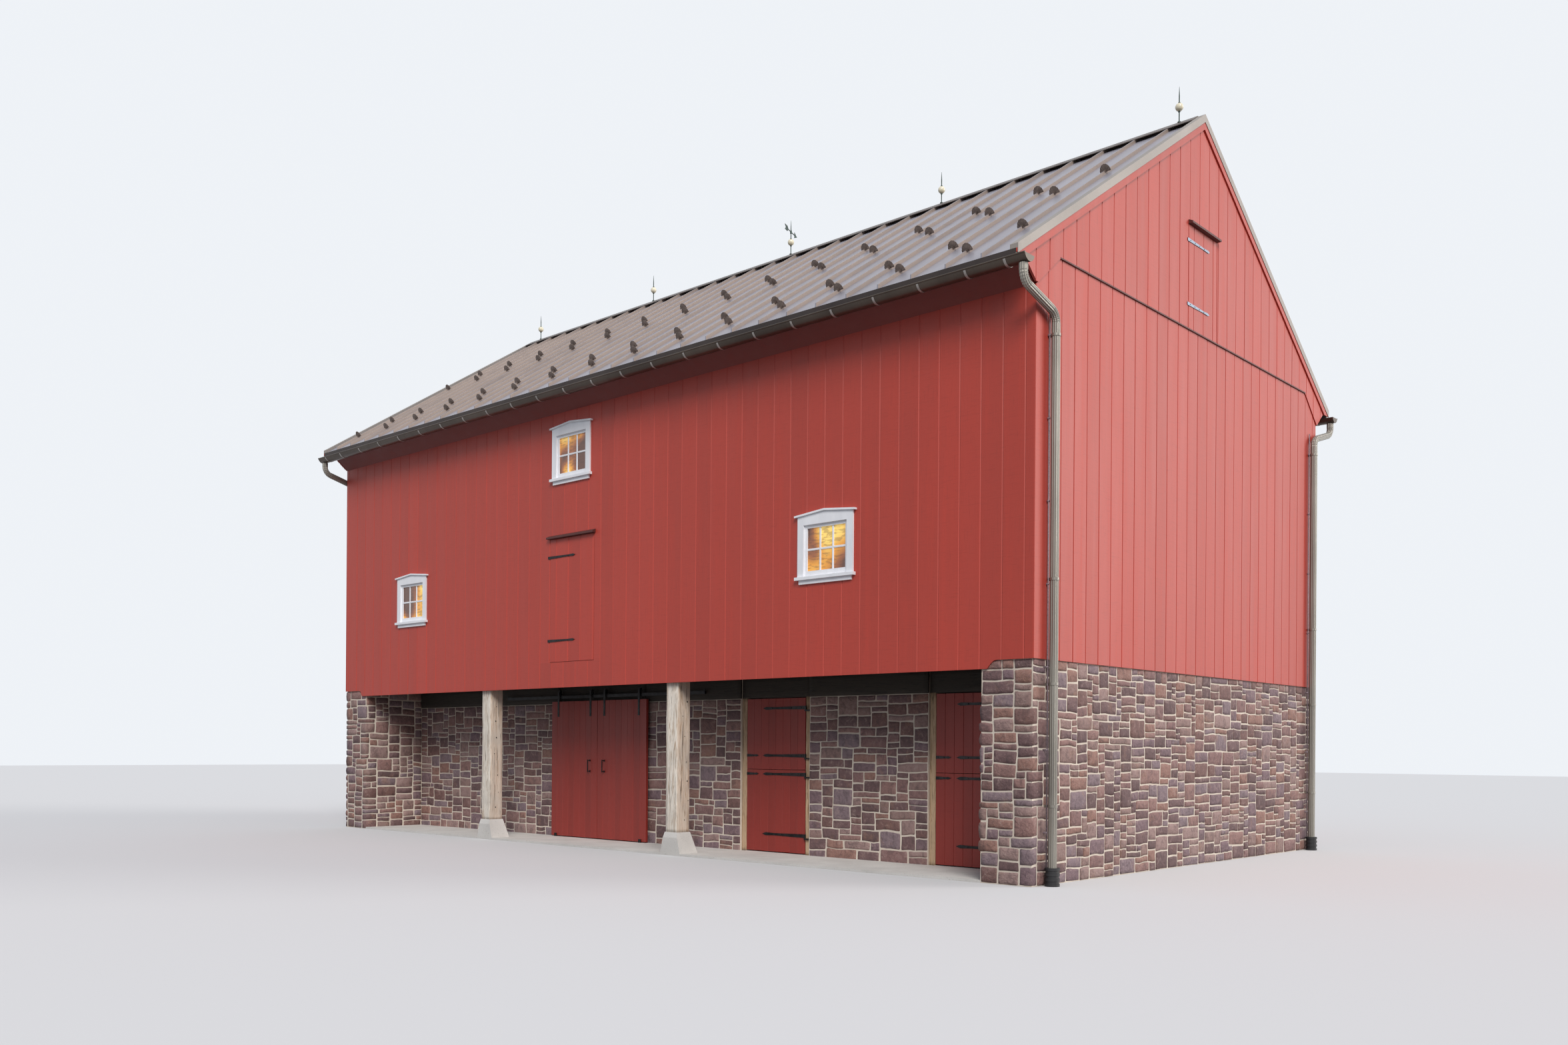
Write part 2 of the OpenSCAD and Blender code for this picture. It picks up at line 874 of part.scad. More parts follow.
module rake_trims() {
    color("lightgray")
        mirror_x() {
            along_x(rake_x, trim_x)
                rake_band(seam_h, -rake_trim_drop);
            along_x(rake_x - rake_trim_w, rake_x)
                rake_band(seam_h, 0);
        }
}

// Gutter of a round-bottomed section, with end caps and a rolled outer edge
gutter_y = -eave_y - gutter_reach + gutter_half;
gutter_z = under_z(eave_y);
gutter_arc_r = (gutter_half * gutter_half + gutter_deep * gutter_deep) / (2 * gutter_deep);
bead_r = 10;
gutter_x = gable_x + gutter_over;

// A band between two arcs about the gutter's centre, below a given height over the lip
module gutter_band(outer, inner, top) {
    difference() {
        translate([0, gutter_arc_r - gutter_deep])
            difference() {
                circle(r = outer, $fn = 96);
                circle(r = inner, $fn = 96);
            }
        translate([-2 * outer, top])
            square([4 * outer, 4 * outer]);
    }
}

module gutter() {
    color("dimgray") {
        along_x(-gutter_x, gutter_x)
            translate([gutter_y, gutter_z]) {
                gutter_band(gutter_arc_r, gutter_arc_r - gutter_t, 0);
                translate([-gutter_half + gutter_t / 2, 0])
                    circle(r = bead_r, $fn = 32);
            }
        mirror_x()
            along_x(gutter_x - gutter_t, gutter_x)
                translate([gutter_y, gutter_z])
                    gutter_band(gutter_arc_r - gutter_t / 2, 0, 0);
    }
}

module gutters() {
    mirror_y()
        gutter();
}

// Brackets: a band round the gutter, and a hanger up to the underside of the roof
bracket_w = 30;
bracket_t = 4;
bracket_end = 110;
bracket_half_count = floor((gable_x - 2 * bracket_end) / bracket_pitch);
function bracket_x(i) = (i + 0.5) * bracket_pitch;
module gutter_bracket() {
    inner = gutter_arc_r + seat;
    over = 10;
    leg = 24;
    translate([-bracket_w / 2, gutter_y, gutter_z])
        rotate([90, 0, 90])
            linear_extrude(height = bracket_w) {
                difference() {
                    gutter_band(inner + bracket_t, inner, over + bracket_t);
                    translate([-2 * inner, -bead_r - bracket_t])
                        square([2 * inner, 2 * inner]);
                }
                translate([leg, over])
                    square([inner - leg, bracket_t]);
                translate([leg, over])
                    square([bracket_t, rest_z(-gutter_y - leg) - gutter_z - over]);
            }
}

module gutter_brackets() {
    places = concat([for (i = [-bracket_half_count : bracket_half_count - 1]) bracket_x(i)],
                    [bracket_end - gable_x, gable_x - bracket_end]);
    color("silver")
        mirror_y()
            for (x = places)
                translate([x, 0, 0])
                    gutter_bracket();
}

// Downspout: straight lengths that lap over narrower elbows, in a plane beside the gable
spout_x = gable_x + spout_off;
spout_y = front_y + spout_in;
spout_elbow_z = gutter_z - spout_drop;
spout_knee_z = spout_elbow_z + spout_fall;
spout_band_t = 5;
spout_lap = 15;
elbow_step = 2;
strap_low = 900;
strap_above_stone = 900;
strap_below_stone = 300;
strap_below_elbow = 260;
strap_band_h = 30;

// A length of pipe between two points of the plane
module spout_run(a, b) {
    d = b - a;
    translate([0, a[0], a[1]])
        rotate([-atan2(d[0], d[1]), 0, 0])
            cylinder(r = spout_r, h = norm(d));
}

// An elbow about a centre of the plane, from one angle on through a turn
module elbow(centre, from, turn) {
    translate([0, centre[0], centre[1]])
        rotate([90, 0, 90])
            rotate([0, 0, from])
                rotate_extrude(angle = turn)
                    translate([elbow_r, 0])
                        circle(r = spout_r - elbow_step);
}

// The strap round the pipe, with its stand-off to a wall at the given distance
module spout_strap(z, wall) {
    translate([0, spout_y, z]) {
        cylinder(r = spout_r + spout_band_t, h = strap_band_h);
        translate([-wall, -strap_band_h / 2, 0])
            cube([wall - spout_r, strap_band_h, strap_band_h]);
    }
}

module downspout() {
    run = spout_y - gutter_y;
    turn = 90 - atan2(spout_fall, run);
    trim = elbow_r * tan(turn / 2);
    lap = trim - spout_lap;
    along = [run, -spout_fall] / norm([run, spout_fall]);
    knee = [gutter_y, spout_knee_z];
    foot = [spout_y, spout_elbow_z];
    translate([spout_x, 0, 0]) {
        spout_run(knee + [0, lap], [gutter_y, gutter_z - gutter_deep - seat]);
        elbow(knee + [elbow_r, trim], 180, turn);
        spout_run(knee + lap * along, foot - lap * along);
        elbow(foot + [-elbow_r, -trim], 0, turn);
        spout_run([spout_y, boot_h], foot - [0, lap]);
        spout_strap(spout_elbow_z - strap_below_elbow, spout_off);
        spout_strap(stone_top + strap_above_stone, spout_off);
        spout_strap(stone_top - strap_below_stone, spout_off + stone_inset);
        spout_strap(strap_low, spout_off + stone_inset);
    }
}

module downspouts() {
    $fn = 32;
    color("gray")
        mirror_x()
            mirror_y()
                downspout();
}

// Ribbed adapters where the downspouts enter the ground
module downspout_boots() {
    rings = 7;
    ring_h = boot_h / rings;
    ring_step = 8;
    color("black")
        mirror_x()
            mirror_y()
                translate([spout_x, spout_y, 0]) {
                    cylinder(r = boot_r - ring_step, h = boot_h);
                    for (i = [0 : 2 : rings - 1])
                        translate([0, 0, i * ring_h])
                            cylinder(r = boot_r, h = ring_h);
                }
}

// A guard: a clamp astride the seam that carries an upright scalloped shell
slope_a = atan(roof_pitch);
clamp_t = 8;
clamp_l = 60;
clamp_drop = 24;
slot_half = seam_w / 2 + seat;
module clamp_outline() {
    half = slot_half + clamp_t;
    top = seat + clamp_t;
    polygon([[-half, -clamp_drop], [-half, top], [half, top], [half, -clamp_drop],
             [slot_half, -clamp_drop], [slot_half, seat], [-slot_half, seat], [-slot_half, -clamp_drop]]);
}

// A fan of lobes with a slot for the seam
module shell_outline() {
    lobes = 5;
    notch = 0.9;
    stretch = 1.3;
    foot = clamp_drop - 4;
    fan = [for (i = [0 : 2 * lobes])
              let (r = guard_r * (i % 2 == 0 ? notch : 1), a = 90 * i / lobes)
                  [r * cos(a), r * stretch * sin(a) - foot]];
    slot = [[-slot_half, -foot], [-slot_half, seat], [slot_half, seat], [slot_half, -foot]];
    polygon(concat(fan, slot));
}

module across_seam(t) {
    translate([0, t / 2, 0])
        rotate([90, 0, 0])
            linear_extrude(height = t)
                children();
}

module snow_guard() {
    across_seam(clamp_l)
        clamp_outline();
    across_seam(guard_t)
        shell_outline();
}

module snow_guards() {
    color("black")
        mirror_y()
            for (i = [-seam_half_count : seam_half_count - 1])
                for (row = [guard_upper, guard_lower]) {
                    y = row + (i % 2 == 0 ? 0 : guard_stagger);
                    translate([seam_x(i), -y, pan_z(y) + seam_h])
                        rotate([slope_a, 0, 0])
                            snow_guard();
                }
}

// Lightning rods with glass balls; the middle one carries the wind arrow
rod_x = [gable_x - rod_right_end, rod_right_mid, -rod_left_mid, rod_left_end - gable_x];
rod_foot = 8;
vane_z = 400;
vane_hub_h = 40;
collar_h = 10;
module rod(height) {
    taper = height / 4;
    base_h = rod_foot + seat + 4;
    cylinder(r = rod_r, h = height - taper);
    translate([0, 0, height - taper])
        cylinder(r1 = rod_r, r2 = rod_r / 4, h = taper);
    cylinder(r = 3 * rod_r, h = base_h);
    for (z = [ball_z - ball_r - collar_h, ball_z + ball_r])
        translate([0, 0, z])
            cylinder(r = 2 * rod_r, h = collar_h);
}

module rod_seat() {
    translate([0, 0, ridge_top - rod_foot])
        children();
}

module lightning_rods() {
    color("cadetblue")
        difference() {
            union() {
                for (x = rod_x)
                    translate([x, 0, 0])
                        rod_seat()
                            rod(rod_h);
                rod_seat() {
                    rod(vane_rod_h);
                    translate([0, 0, vane_z - vane_hub_h / 2 - collar_h])
                        cylinder(r = 2 * rod_r, h = collar_h);
                }
            }
            ridge_cap();
        }
}

module glass_balls() {
    color("ivory")
        for (x = concat(rod_x, [0]))
            translate([x, 0, ridge_top - rod_foot + ball_z])
                difference() {
                    sphere(r = ball_r);
                    cylinder(r = rod_r + seat, h = 3 * ball_r, center = true);
                }
}

// The wind arrow, its head towards +X before it is turned to its heading
module arrow_outline() {
    shaft = 8;
    tail_l = 110;
    tail_h = 45;
    head_l = 120;
    head_h = 50;
    upper = [[vane_len, 0], [vane_len - head_l, head_h], [vane_len - head_l + shaft, shaft],
             [tail_l + tail_h, shaft], [tail_l, tail_h], [0, tail_h], [tail_h, 0]];
    polygon(upper);
    mirror([0, 1])
        polygon(upper);
}

module weathervane() {
    vane_t = 8;
    hub_wall = 9;
    color("cadetblue")
        translate([0, 0, ridge_top - rod_foot + vane_z])
            rotate([0, 0, vane_turn])
                difference() {
                    union() {
                        translate([0, 0, seat - vane_hub_h / 2])
                            cylinder(r = rod_r + hub_wall, h = vane_hub_h);
                        translate([-vane_len / 2, vane_t / 2, 0])
                            rotate([90, 0, 0])
                                linear_extrude(height = vane_t)
                                    arrow_outline();
                    }
                    cylinder(r = rod_r + pin_gap, h = 2 * vane_hub_h, center = true);
                }
}

// A sliding leaf: boards with three ledges on the back
meet_gap = 4;
module sliding_leaf() {
    w = slide_leaf_w - meet_gap;
    foot = leaf_foot + ledge_end;
    head = slide_top - ledge_end - ledge_h;
    color("darkred") {
        block(0, w, slide_front_y, slide_back_y, leaf_foot, slide_top);
        for (z = [foot, (foot + head) / 2, head])
            block(ledge_in, w - ledge_in, slide_back_y, slide_back_y + ledge_t, z, z + ledge_h);
    }
}

module left_sliding_door() {
    translate([slide_left_x, 0, 0])
        sliding_leaf();
}

module right_sliding_door() {
    translate([slide_seam_x + meet_gap, 0, 0])
        sliding_leaf();
}

// Hangers: a plate on the leaf, and a wheel that runs on the rail
hanger_in = 180;
hanger_l = 260;
module hanger() {
    plate_w = 44;
    plate_t = 6;
    axle_r = 8;
    translate([-plate_w / 2, slide_front_y - plate_t, slide_top - hanger_l])
        cube([plate_w, plate_t, wheel_z + plate_w / 2 + axle_r - slide_top + hanger_l]);
    translate([0, slide_mid_y + wheel_t / 2, wheel_z])
        rotate([90, 0, 0])
            cylinder(r = wheel_d / 2, h = wheel_t);
    translate([0, slide_mid_y, wheel_z])
        rotate([90, 0, 0])
            cylinder(r = axle_r, h = slide_mid_y - slide_front_y + plate_t);
}

// A D-shaped pull on two feet
pull_z = 1250;
pull_in = 185;
module pull() {
    foot_w = 28;
    foot_t = 10;
    foot_h = 30;
    grip_t = 12;
    reach = 45;
    span = 210;
    for (s = [-1, 1])
        translate([0, slide_front_y, pull_z + s * (span - foot_h) / 2]) {
            translate([-foot_w / 2, -foot_t, -foot_h / 2])
                cube([foot_w, foot_t, foot_h]);
            translate([-grip_t / 2, -reach, -grip_t / 2])
                cube([grip_t, reach, grip_t]);
        }
    translate([-grip_t / 2, slide_front_y - reach - grip_t, pull_z - span / 2])
        cube([grip_t, grip_t, span]);
}

module sliding_hardware(centre, side) {
    reach = slide_leaf_w / 2 - hanger_in;
    color("black") {
        for (x = [centre - reach, centre + reach])
            translate([x, 0, 0])
                hanger();
        translate([slide_seam_x + side * pull_in, 0, 0])
            pull();
    }
}

module left_sliding_hardware() {
    sliding_hardware(slide_seam_x - slide_leaf_w / 2, -1);
}

module right_sliding_hardware() {
    sliding_hardware(slide_seam_x + slide_leaf_w / 2, 1);
}

// One half of a divided door, between two heights
module dutch_leaf(x, z0, z1) {
    color("darkred") {
        block(x + leaf_gap, x + dutch_w - leaf_gap, dutch_front_y, dutch_back_y, z0, z1);
        for (z = [z0 + ledge_h, z1 - 2 * ledge_h])
            block(x + ledge_in + leaf_gap, x + dutch_w - ledge_in - leaf_gap, dutch_back_y,
                  dutch_back_y + ledge_t, z, z + ledge_h);
    }
}

module left_dutch_upper() {
    dutch_leaf(dutch_left_x, dutch_split + leaf_gap / 2, door_head - leaf_gap);
}

module left_dutch_lower() {
    dutch_leaf(dutch_left_x, leaf_foot, dutch_split - leaf_gap / 2);
}

module right_dutch_upper() {
    dutch_leaf(dutch_right_x, dutch_split + leaf_gap / 2, door_head - leaf_gap);
}

module right_dutch_lower() {
    dutch_leaf(dutch_right_x, leaf_foot, dutch_split - leaf_gap / 2);
}

// Hinge straps with an eye on the pin, and the latch strap on the other side
module door_strap(x, z) {
    pin_x = x + dutch_w + leaf_gap;
    eye_r = pin_r + 6;
    cut_x = pin_x + 1;
    difference() {
        union() {
            translate([pin_x, dutch_front_y, z])
                mirror([1, 0, 0])
                    strap(strap_len, strap_h);
            translate([pin_x, hinge_y, z - strap_h / 2])
                cylinder(r = eye_r, h = strap_h);
        }
        translate([pin_x, hinge_y, z - strap_h])
            cylinder(r = pin_r + pin_gap, h = 2 * strap_h);
        block(cut_x, cut_x + 2 * eye_r, hinge_y + pin_r, dutch_front_y + 1, z - strap_h, z + strap_h);
    }
}

module door_straps(x, heights, latch) {
    latch_in = 4;
    color("black") {
        for (z = heights)
            door_strap(x, z);
        translate([x + leaf_gap + latch_in, dutch_front_y, latch])
            strap(latch_len, small_strap_h);
    }
}

module left_upper_straps() {
    door_straps(dutch_left_x, upper_strap_z, upper_strap_z[0]);
}

module left_lower_straps() {
    door_straps(dutch_left_x, lower_strap_z, lower_strap_z[1]);
}

module right_upper_straps() {
    door_straps(dutch_right_x, upper_strap_z, upper_strap_z[0]);
}

module right_lower_straps() {
    door_straps(dutch_right_x, lower_strap_z, lower_strap_z[1]);
}

ground_slab();
right_stone_wall();
left_stone_wall();
rear_stone_wall();
front_stone_wall();
door_frames();
dutch_door_pintles();
sliding_door_track();
forebay_posts();
post_footings();
forebay_beam();
upper_floor();
front_siding();
rear_siding();
lower_gables();
upper_gables();
board_hatches();
hatch_hinges();
drip_caps();
window_frames();
window_glass();
cornices();
front_roof();
rear_roof();
ridge_cap();
rake_boards();
rake_trims();
gutters();
gutter_brackets();
downspouts();
downspout_boots();
snow_guards();
lightning_rods();
glass_balls();
weathervane();
left_sliding_door();
left_sliding_hardware();
right_sliding_door();
right_sliding_hardware();
left_dutch_upper();
left_dutch_lower();
right_dutch_upper();
right_dutch_lower();
left_upper_straps();
left_lower_straps();
right_upper_straps();
right_lower_straps();
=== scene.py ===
"""Looks of the red barn: boards, rubble stone, roof sheet, timber and ironwork around the fixed frame."""
import json
import math

import bpy
import numpy as np
from mathutils import Matrix, Vector


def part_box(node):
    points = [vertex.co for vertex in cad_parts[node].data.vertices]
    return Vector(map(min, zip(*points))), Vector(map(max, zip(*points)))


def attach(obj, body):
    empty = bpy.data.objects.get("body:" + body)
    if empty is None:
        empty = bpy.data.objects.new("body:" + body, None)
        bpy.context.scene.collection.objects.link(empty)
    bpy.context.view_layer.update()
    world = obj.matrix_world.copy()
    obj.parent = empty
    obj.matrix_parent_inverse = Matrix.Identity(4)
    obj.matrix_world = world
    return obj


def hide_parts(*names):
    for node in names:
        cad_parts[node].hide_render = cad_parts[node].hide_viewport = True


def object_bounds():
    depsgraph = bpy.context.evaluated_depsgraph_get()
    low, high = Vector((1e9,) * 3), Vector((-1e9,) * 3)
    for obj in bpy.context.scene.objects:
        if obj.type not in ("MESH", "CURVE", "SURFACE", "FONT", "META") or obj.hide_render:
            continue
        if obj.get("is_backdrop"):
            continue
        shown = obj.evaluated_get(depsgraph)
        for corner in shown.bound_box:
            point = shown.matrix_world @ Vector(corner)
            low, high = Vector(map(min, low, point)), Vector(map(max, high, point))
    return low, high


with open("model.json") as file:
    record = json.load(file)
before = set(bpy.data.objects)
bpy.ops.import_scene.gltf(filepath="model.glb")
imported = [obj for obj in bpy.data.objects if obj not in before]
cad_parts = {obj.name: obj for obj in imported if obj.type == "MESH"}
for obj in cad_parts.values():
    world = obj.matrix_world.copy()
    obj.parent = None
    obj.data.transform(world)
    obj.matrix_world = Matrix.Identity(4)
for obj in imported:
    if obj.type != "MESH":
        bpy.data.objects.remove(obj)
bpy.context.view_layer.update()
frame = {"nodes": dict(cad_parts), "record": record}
NODES = frame["nodes"]
scene = bpy.context.scene


def box(node):
    low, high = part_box(node)
    return Vector(low), Vector(high)


# Main lines of the barn, in metres, read from the frame or set to the part's own sizes
HALF_X, HALF_Y, BELT_Z = box("lower_gables")[1]
UPPER_X = box("upper_gables")[1].x
STONE_X, STONE_Y, STONE_TOP = box("right_stone_wall")[1]
PIER_X, ROOM_Y = box("front_stone_wall")[1].xy
RECESS_Y = box("front_stone_wall")[0].y
SKIRT_LOW = box("front_siding")[0].z
WALL_TOP = box("rear_siding")[1].z
EAVE_Y = box("rear_roof")[1].y
EAVE_LOW = box("rear_roof")[0].z
ROOF_DEEP = 0.09
ROOF_PITCH = 0.6667
RIDGE_Z = EAVE_LOW + ROOF_DEEP + EAVE_Y * ROOF_PITCH
SOFFIT_PITCH = 0.841
FLAT_Y = HALF_Y - (BELT_Z - WALL_TOP) / SOFFIT_PITCH
SKIRT_END = 0.48
OGEE_W = 0.12
BOARD_T = 0.03
WALL_T = 0.15
BEAM_TOP = box("forebay_beam")[1].z
BOARD_PITCH = 0.3
JAMB = 0.1
DOOR_HEAD = 2.3
PANE_LOW, PANE_HIGH = box("window_glass")

# The gap beside a door leaf, and the hair's breadth by which pieces reach into others or stay back
LEAF_GAP = 0.007
HAIR = 0.001


def linear(srgb):
    """A colour written in sRGB values from 0 to 255, as linear values with alpha."""
    shares = [v / 255 for v in srgb]
    return (*(c / 12.92 if c <= 0.04045 else ((c + 0.055) / 1.055) ** 2.4 for c in shares), 1.0)


# Meshes

DOME_RINGS = ((1.0, -0.2), (0.95, 0.55), (0.6, 0.9), (0.1, 1.0))
NEARLY_ALONG = 0.98


def add_object(name, data):
    obj = bpy.data.objects.new(name, data)
    scene.collection.objects.link(obj)
    return obj


def add_mesh(name, verts, faces, material, smooth=False):
    mesh = bpy.data.meshes.new(name)
    mesh.from_pydata([tuple(map(float, v)) for v in verts], [], [tuple(map(int, f)) for f in faces])
    mesh.materials.append(material)
    if smooth:
        mesh.polygons.foreach_set("use_smooth", [True] * len(mesh.polygons))
    mesh.update()
    return add_object(name, mesh)


def spot(axis, t, p, q):
    """A point at t along an axis and at p and q along the other two."""
    point = [p, q]
    point.insert(axis, t)
    return tuple(point)


class Shape:
    """Collects closed solids into one mesh."""

    def __init__(self):
        self.verts = []
        self.faces = []

    def skin(self, rings, sides, place=None):
        """Closed skin over rings that follow each other, each of so many points."""
        base, count = len(self.verts), len(rings) // sides
        faces = [tuple(range(sides - 1, -1, -1)), tuple(range((count - 1) * sides, count * sides))]
        for i in range(count - 1):
            for k in range(sides):
                j = (k + 1) % sides
                faces.append((i * sides + k, i * sides + j, (i + 1) * sides + j, (i + 1) * sides + k))
        self.verts += [place(v) for v in rings] if place else rings
        self.faces += [tuple(base + i for i in face) for face in faces]

    def prism(self, profile, axis, a, b, place=None):
        """A closed outline of (p, q) points carried from a to b along axis 0, 1 or 2."""
        area = sum(p[0] * q[1] - q[0] * p[1] for p, q in zip(profile, profile[1:] + profile[:1]))
        if (area > 0) != ((b > a) == (axis != 1)):
            profile = profile[::-1]
        self.skin([spot(axis, t, p, q) for t in (a, b) for p, q in profile], len(profile), place)

    def box(self, low, high, bevel=0.0, place=None):
        """A box between two corners, with its long edges eased."""
        (x0, x1), (y0, y1), (z0, z1) = [sorted(pair) for pair in zip(low, high)]
        if bevel <= 0:
            self.prism([(x0, y0), (x1, y0), (x1, y1), (x0, y1)], 2, z0, z1, place)
            return
        rings = []
        for z, inset in ((z0, bevel), (z0 + bevel, 0), (z1 - bevel, 0), (z1, bevel)):
            for cx, cy, sx, sy in ((x0, y0, 1, 1), (x1, y0, -1, 1), (x1, y1, -1, -1), (x0, y1, 1, -1)):
                near = (cx + sx * (bevel + inset), cy + sy * inset, z)
                far = (cx + sx * inset, cy + sy * (bevel + inset), z)
                rings.extend((far, near) if sx * sy > 0 else (near, far))
        self.skin(rings, 8, place)

    def tube(self, path, radii, sides, flutes=0, depth=0.0):
        """A closed tube along a path, with one radius or one for each point, and flutes when asked."""
        path = [Vector(p) for p in path]
        if isinstance(radii, float):
            radii = [radii] * len(path)
        side = Vector((1, 0, 0))
        rings = []
        for i, (p, radius) in enumerate(zip(path, radii)):
            t = (path[min(i + 1, len(path) - 1)] - path[max(i - 1, 0)]).normalized()
            if abs(t.dot(side)) > NEARLY_ALONG:
                side = Vector((0, 1, 0))
            side = (side - t * side.dot(t)).normalized()
            other = t.cross(side)
            for k in range(sides):
                a = 2 * math.pi * k / sides
                r = radius - depth * (0.5 + 0.5 * math.cos(a * flutes)) if flutes else radius
                rings.append(tuple(p + (side * math.cos(a) + other * math.sin(a)) * r))
        self.skin(rings, sides)

    def dome(self, centre, normal, radius, height, sides=10):
        """A low round head on a surface, of rings with shares of its radius and height."""
        n = Vector(normal).normalized()
        a = n.orthogonal().normalized()
        b = n.cross(a)
        rings = []
        for r, h in DOME_RINGS:
            for k in range(sides):
                t = 2 * math.pi * k / sides
                out = (a * math.cos(t) + b * math.sin(t)) * radius * r
                rings.append(tuple(Vector(centre) + out + n * height * h))
        self.skin(rings, sides)

    def build(self, name, material, smooth=False):
        return add_mesh(name, self.verts, self.faces, material, smooth)


# Materials

class Nodes:
    """A short way to write a material or a world, with the colour and the relief laid on so far."""

    def __init__(self, owner):
        owner.use_nodes = True
        self.owner = owner
        self.tree = owner.node_tree
        self.normal = None

    def feed(self, socket, value):
        if isinstance(value, bpy.types.NodeSocket):
            self.tree.links.new(value, socket)
        else:
            socket.default_value = value

    def add(self, kind, **inputs):
        node = self.tree.nodes.new(kind)
        for key, value in inputs.items():
            self.feed(node.inputs[key.replace("_", " ")], value)
        return node

    def noise(self, scale, detail=4.0, roughness=0.55, stretch=(1, 1, 1), distortion=0.0):
        place = self.add("ShaderNodeTexCoord").outputs["Object"]
        place = self.add("ShaderNodeMapping", Vector=place, Scale=stretch).outputs["Vector"]
        node = self.add("ShaderNodeTexNoise", Vector=place, Scale=scale, Detail=detail, Roughness=roughness,
                        Distortion=distortion)
        return node.outputs["Fac"]

    def ramp(self, value, stops, steps=False):
        node = self.add("ShaderNodeValToRGB", Fac=value)
        ramp = node.color_ramp
        ramp.interpolation = "CONSTANT" if steps else "LINEAR"
        while len(ramp.elements) < len(stops):
            ramp.elements.new(0.5)
        for element, (place, colour) in zip(ramp.elements, stops):
            element.position = place
            element.color = colour
        return node.outputs["Color"]

    def mask(self, value, low, high, most=1.0):
        """Grey that climbs from nothing at low to the most at high."""
        a, b = ((low, 0.0), (high, most)) if low < high else ((high, most), (low, 0.0))
        return self.ramp(value, [(p, (g, g, g, 1)) for p, g in (a, b)])

    def math(self, operation, *values):
        node = self.tree.nodes.new("ShaderNodeMath")
        node.operation = operation
        for socket, value in zip(node.inputs, values):
            self.feed(socket, value)
        return node.outputs[0]

    def island(self):
        return self.add("ShaderNodeNewGeometry").outputs["Random Per Island"]

    def ground(self, value, *stops, steps=False):
        """The first colour, which follows a value through stops of a place and a colour."""
        self.colour = self.ramp(value, [(place, linear(colour)) for place, colour in stops], steps)

    def cover(self, share, colour):
        """Lays a share of another colour over the present one."""
        node = self.tree.nodes.new("ShaderNodeMix")
        node.data_type = "RGBA"
        for socket, value in zip((node.inputs[0], *node.inputs[6:8]), (share, self.colour, linear(colour))):
            self.feed(socket, value)
        self.colour = node.outputs[2]

    def paint_side_light(self, colour, most=1.0):
        """Painted light and shade: lays a colour over the faces that look along X."""
        normal = self.add("ShaderNodeNewGeometry").outputs["True Normal"]
        along = self.add("ShaderNodeSeparateXYZ", Vector=normal).outputs["X"]
        self.cover(self.mask(self.math("ABSOLUTE", along), 0.4, 0.6, most), colour)

    def bump(self, height, strength, distance):
        """Adds relief to what is there."""
        node = self.add("ShaderNodeBump", Height=height, Strength=strength, Distance=distance)
        if self.normal:
            self.tree.links.new(self.normal, node.inputs["Normal"])
        self.normal = node.outputs["Normal"]

    def finish(self, roughness, **more):
        shader = self.tree.nodes["Principled BSDF"]
        inputs = {"Base_Color": self.colour, "Roughness": roughness, "Normal": self.normal, **more}
        for key, value in inputs.items():
            self.feed(shader.inputs[key.replace("_", " ")], value)
        return self.owner

    def show(self, end, lit, seen):
        """Lights the scene by one shader, and gives another to rays that see or mirror it."""
        rays = self.add("ShaderNodeLightPath").outputs
        share = rays["Is Camera Ray"]
        for other in ("Is Glossy Ray", "Is Transmission Ray"):
            share = self.math("MAXIMUM", share, rays[other])
        mix = self.add("ShaderNodeMixShader")
        for socket, value in zip(mix.inputs, (share, lit.outputs[0], seen.outputs[0])):
            self.feed(socket, value)
        self.feed(self.tree.nodes[end].inputs["Surface"], mix.outputs[0])


def new_material(name):
    return Nodes(bpy.data.materials.new(name))


def shade(colour, factor):
    return [min(v * factor, 255) for v in colour]


def painted_boards(name, colour, gloss, spread=0.07):
    """Matt paint on sawn boards, each board a little lighter or darker."""
    n = new_material(name)
    n.ground(n.island(), (0.0, shade(colour, 1 - spread)), (0.45, colour), (1.0, shade(colour, 1 + spread)))
    n.cover(n.mask(n.noise(0.45, 3, 0.5), 0.4, 0.7, 0.3), shade(colour, 1.06))
    streak = n.noise(7, 5, 0.6, (1.0, 1.0, 0.05), 0.3)
    n.cover(n.mask(streak, 0.52, 0.75, 0.35), shade(colour, 1.13))
    saw = n.noise(26, 3, 0.6, (0.25, 0.25, 3.0))
    n.cover(n.mask(saw, 0.46, 0.3, 0.22), shade(colour, 0.8))
    grain = n.noise(70, 4, 0.65, (1.0, 1.0, 0.05), 0.6)
    n.cover(n.mask(grain, 0.45, 0.28, 0.3), shade(colour, 0.78))
    n.bump(grain, 0.3, 0.0015)
    n.bump(saw, 0.35, 0.002)
    return n.finish(n.math("MULTIPLY_ADD", streak, 0.2, gloss))


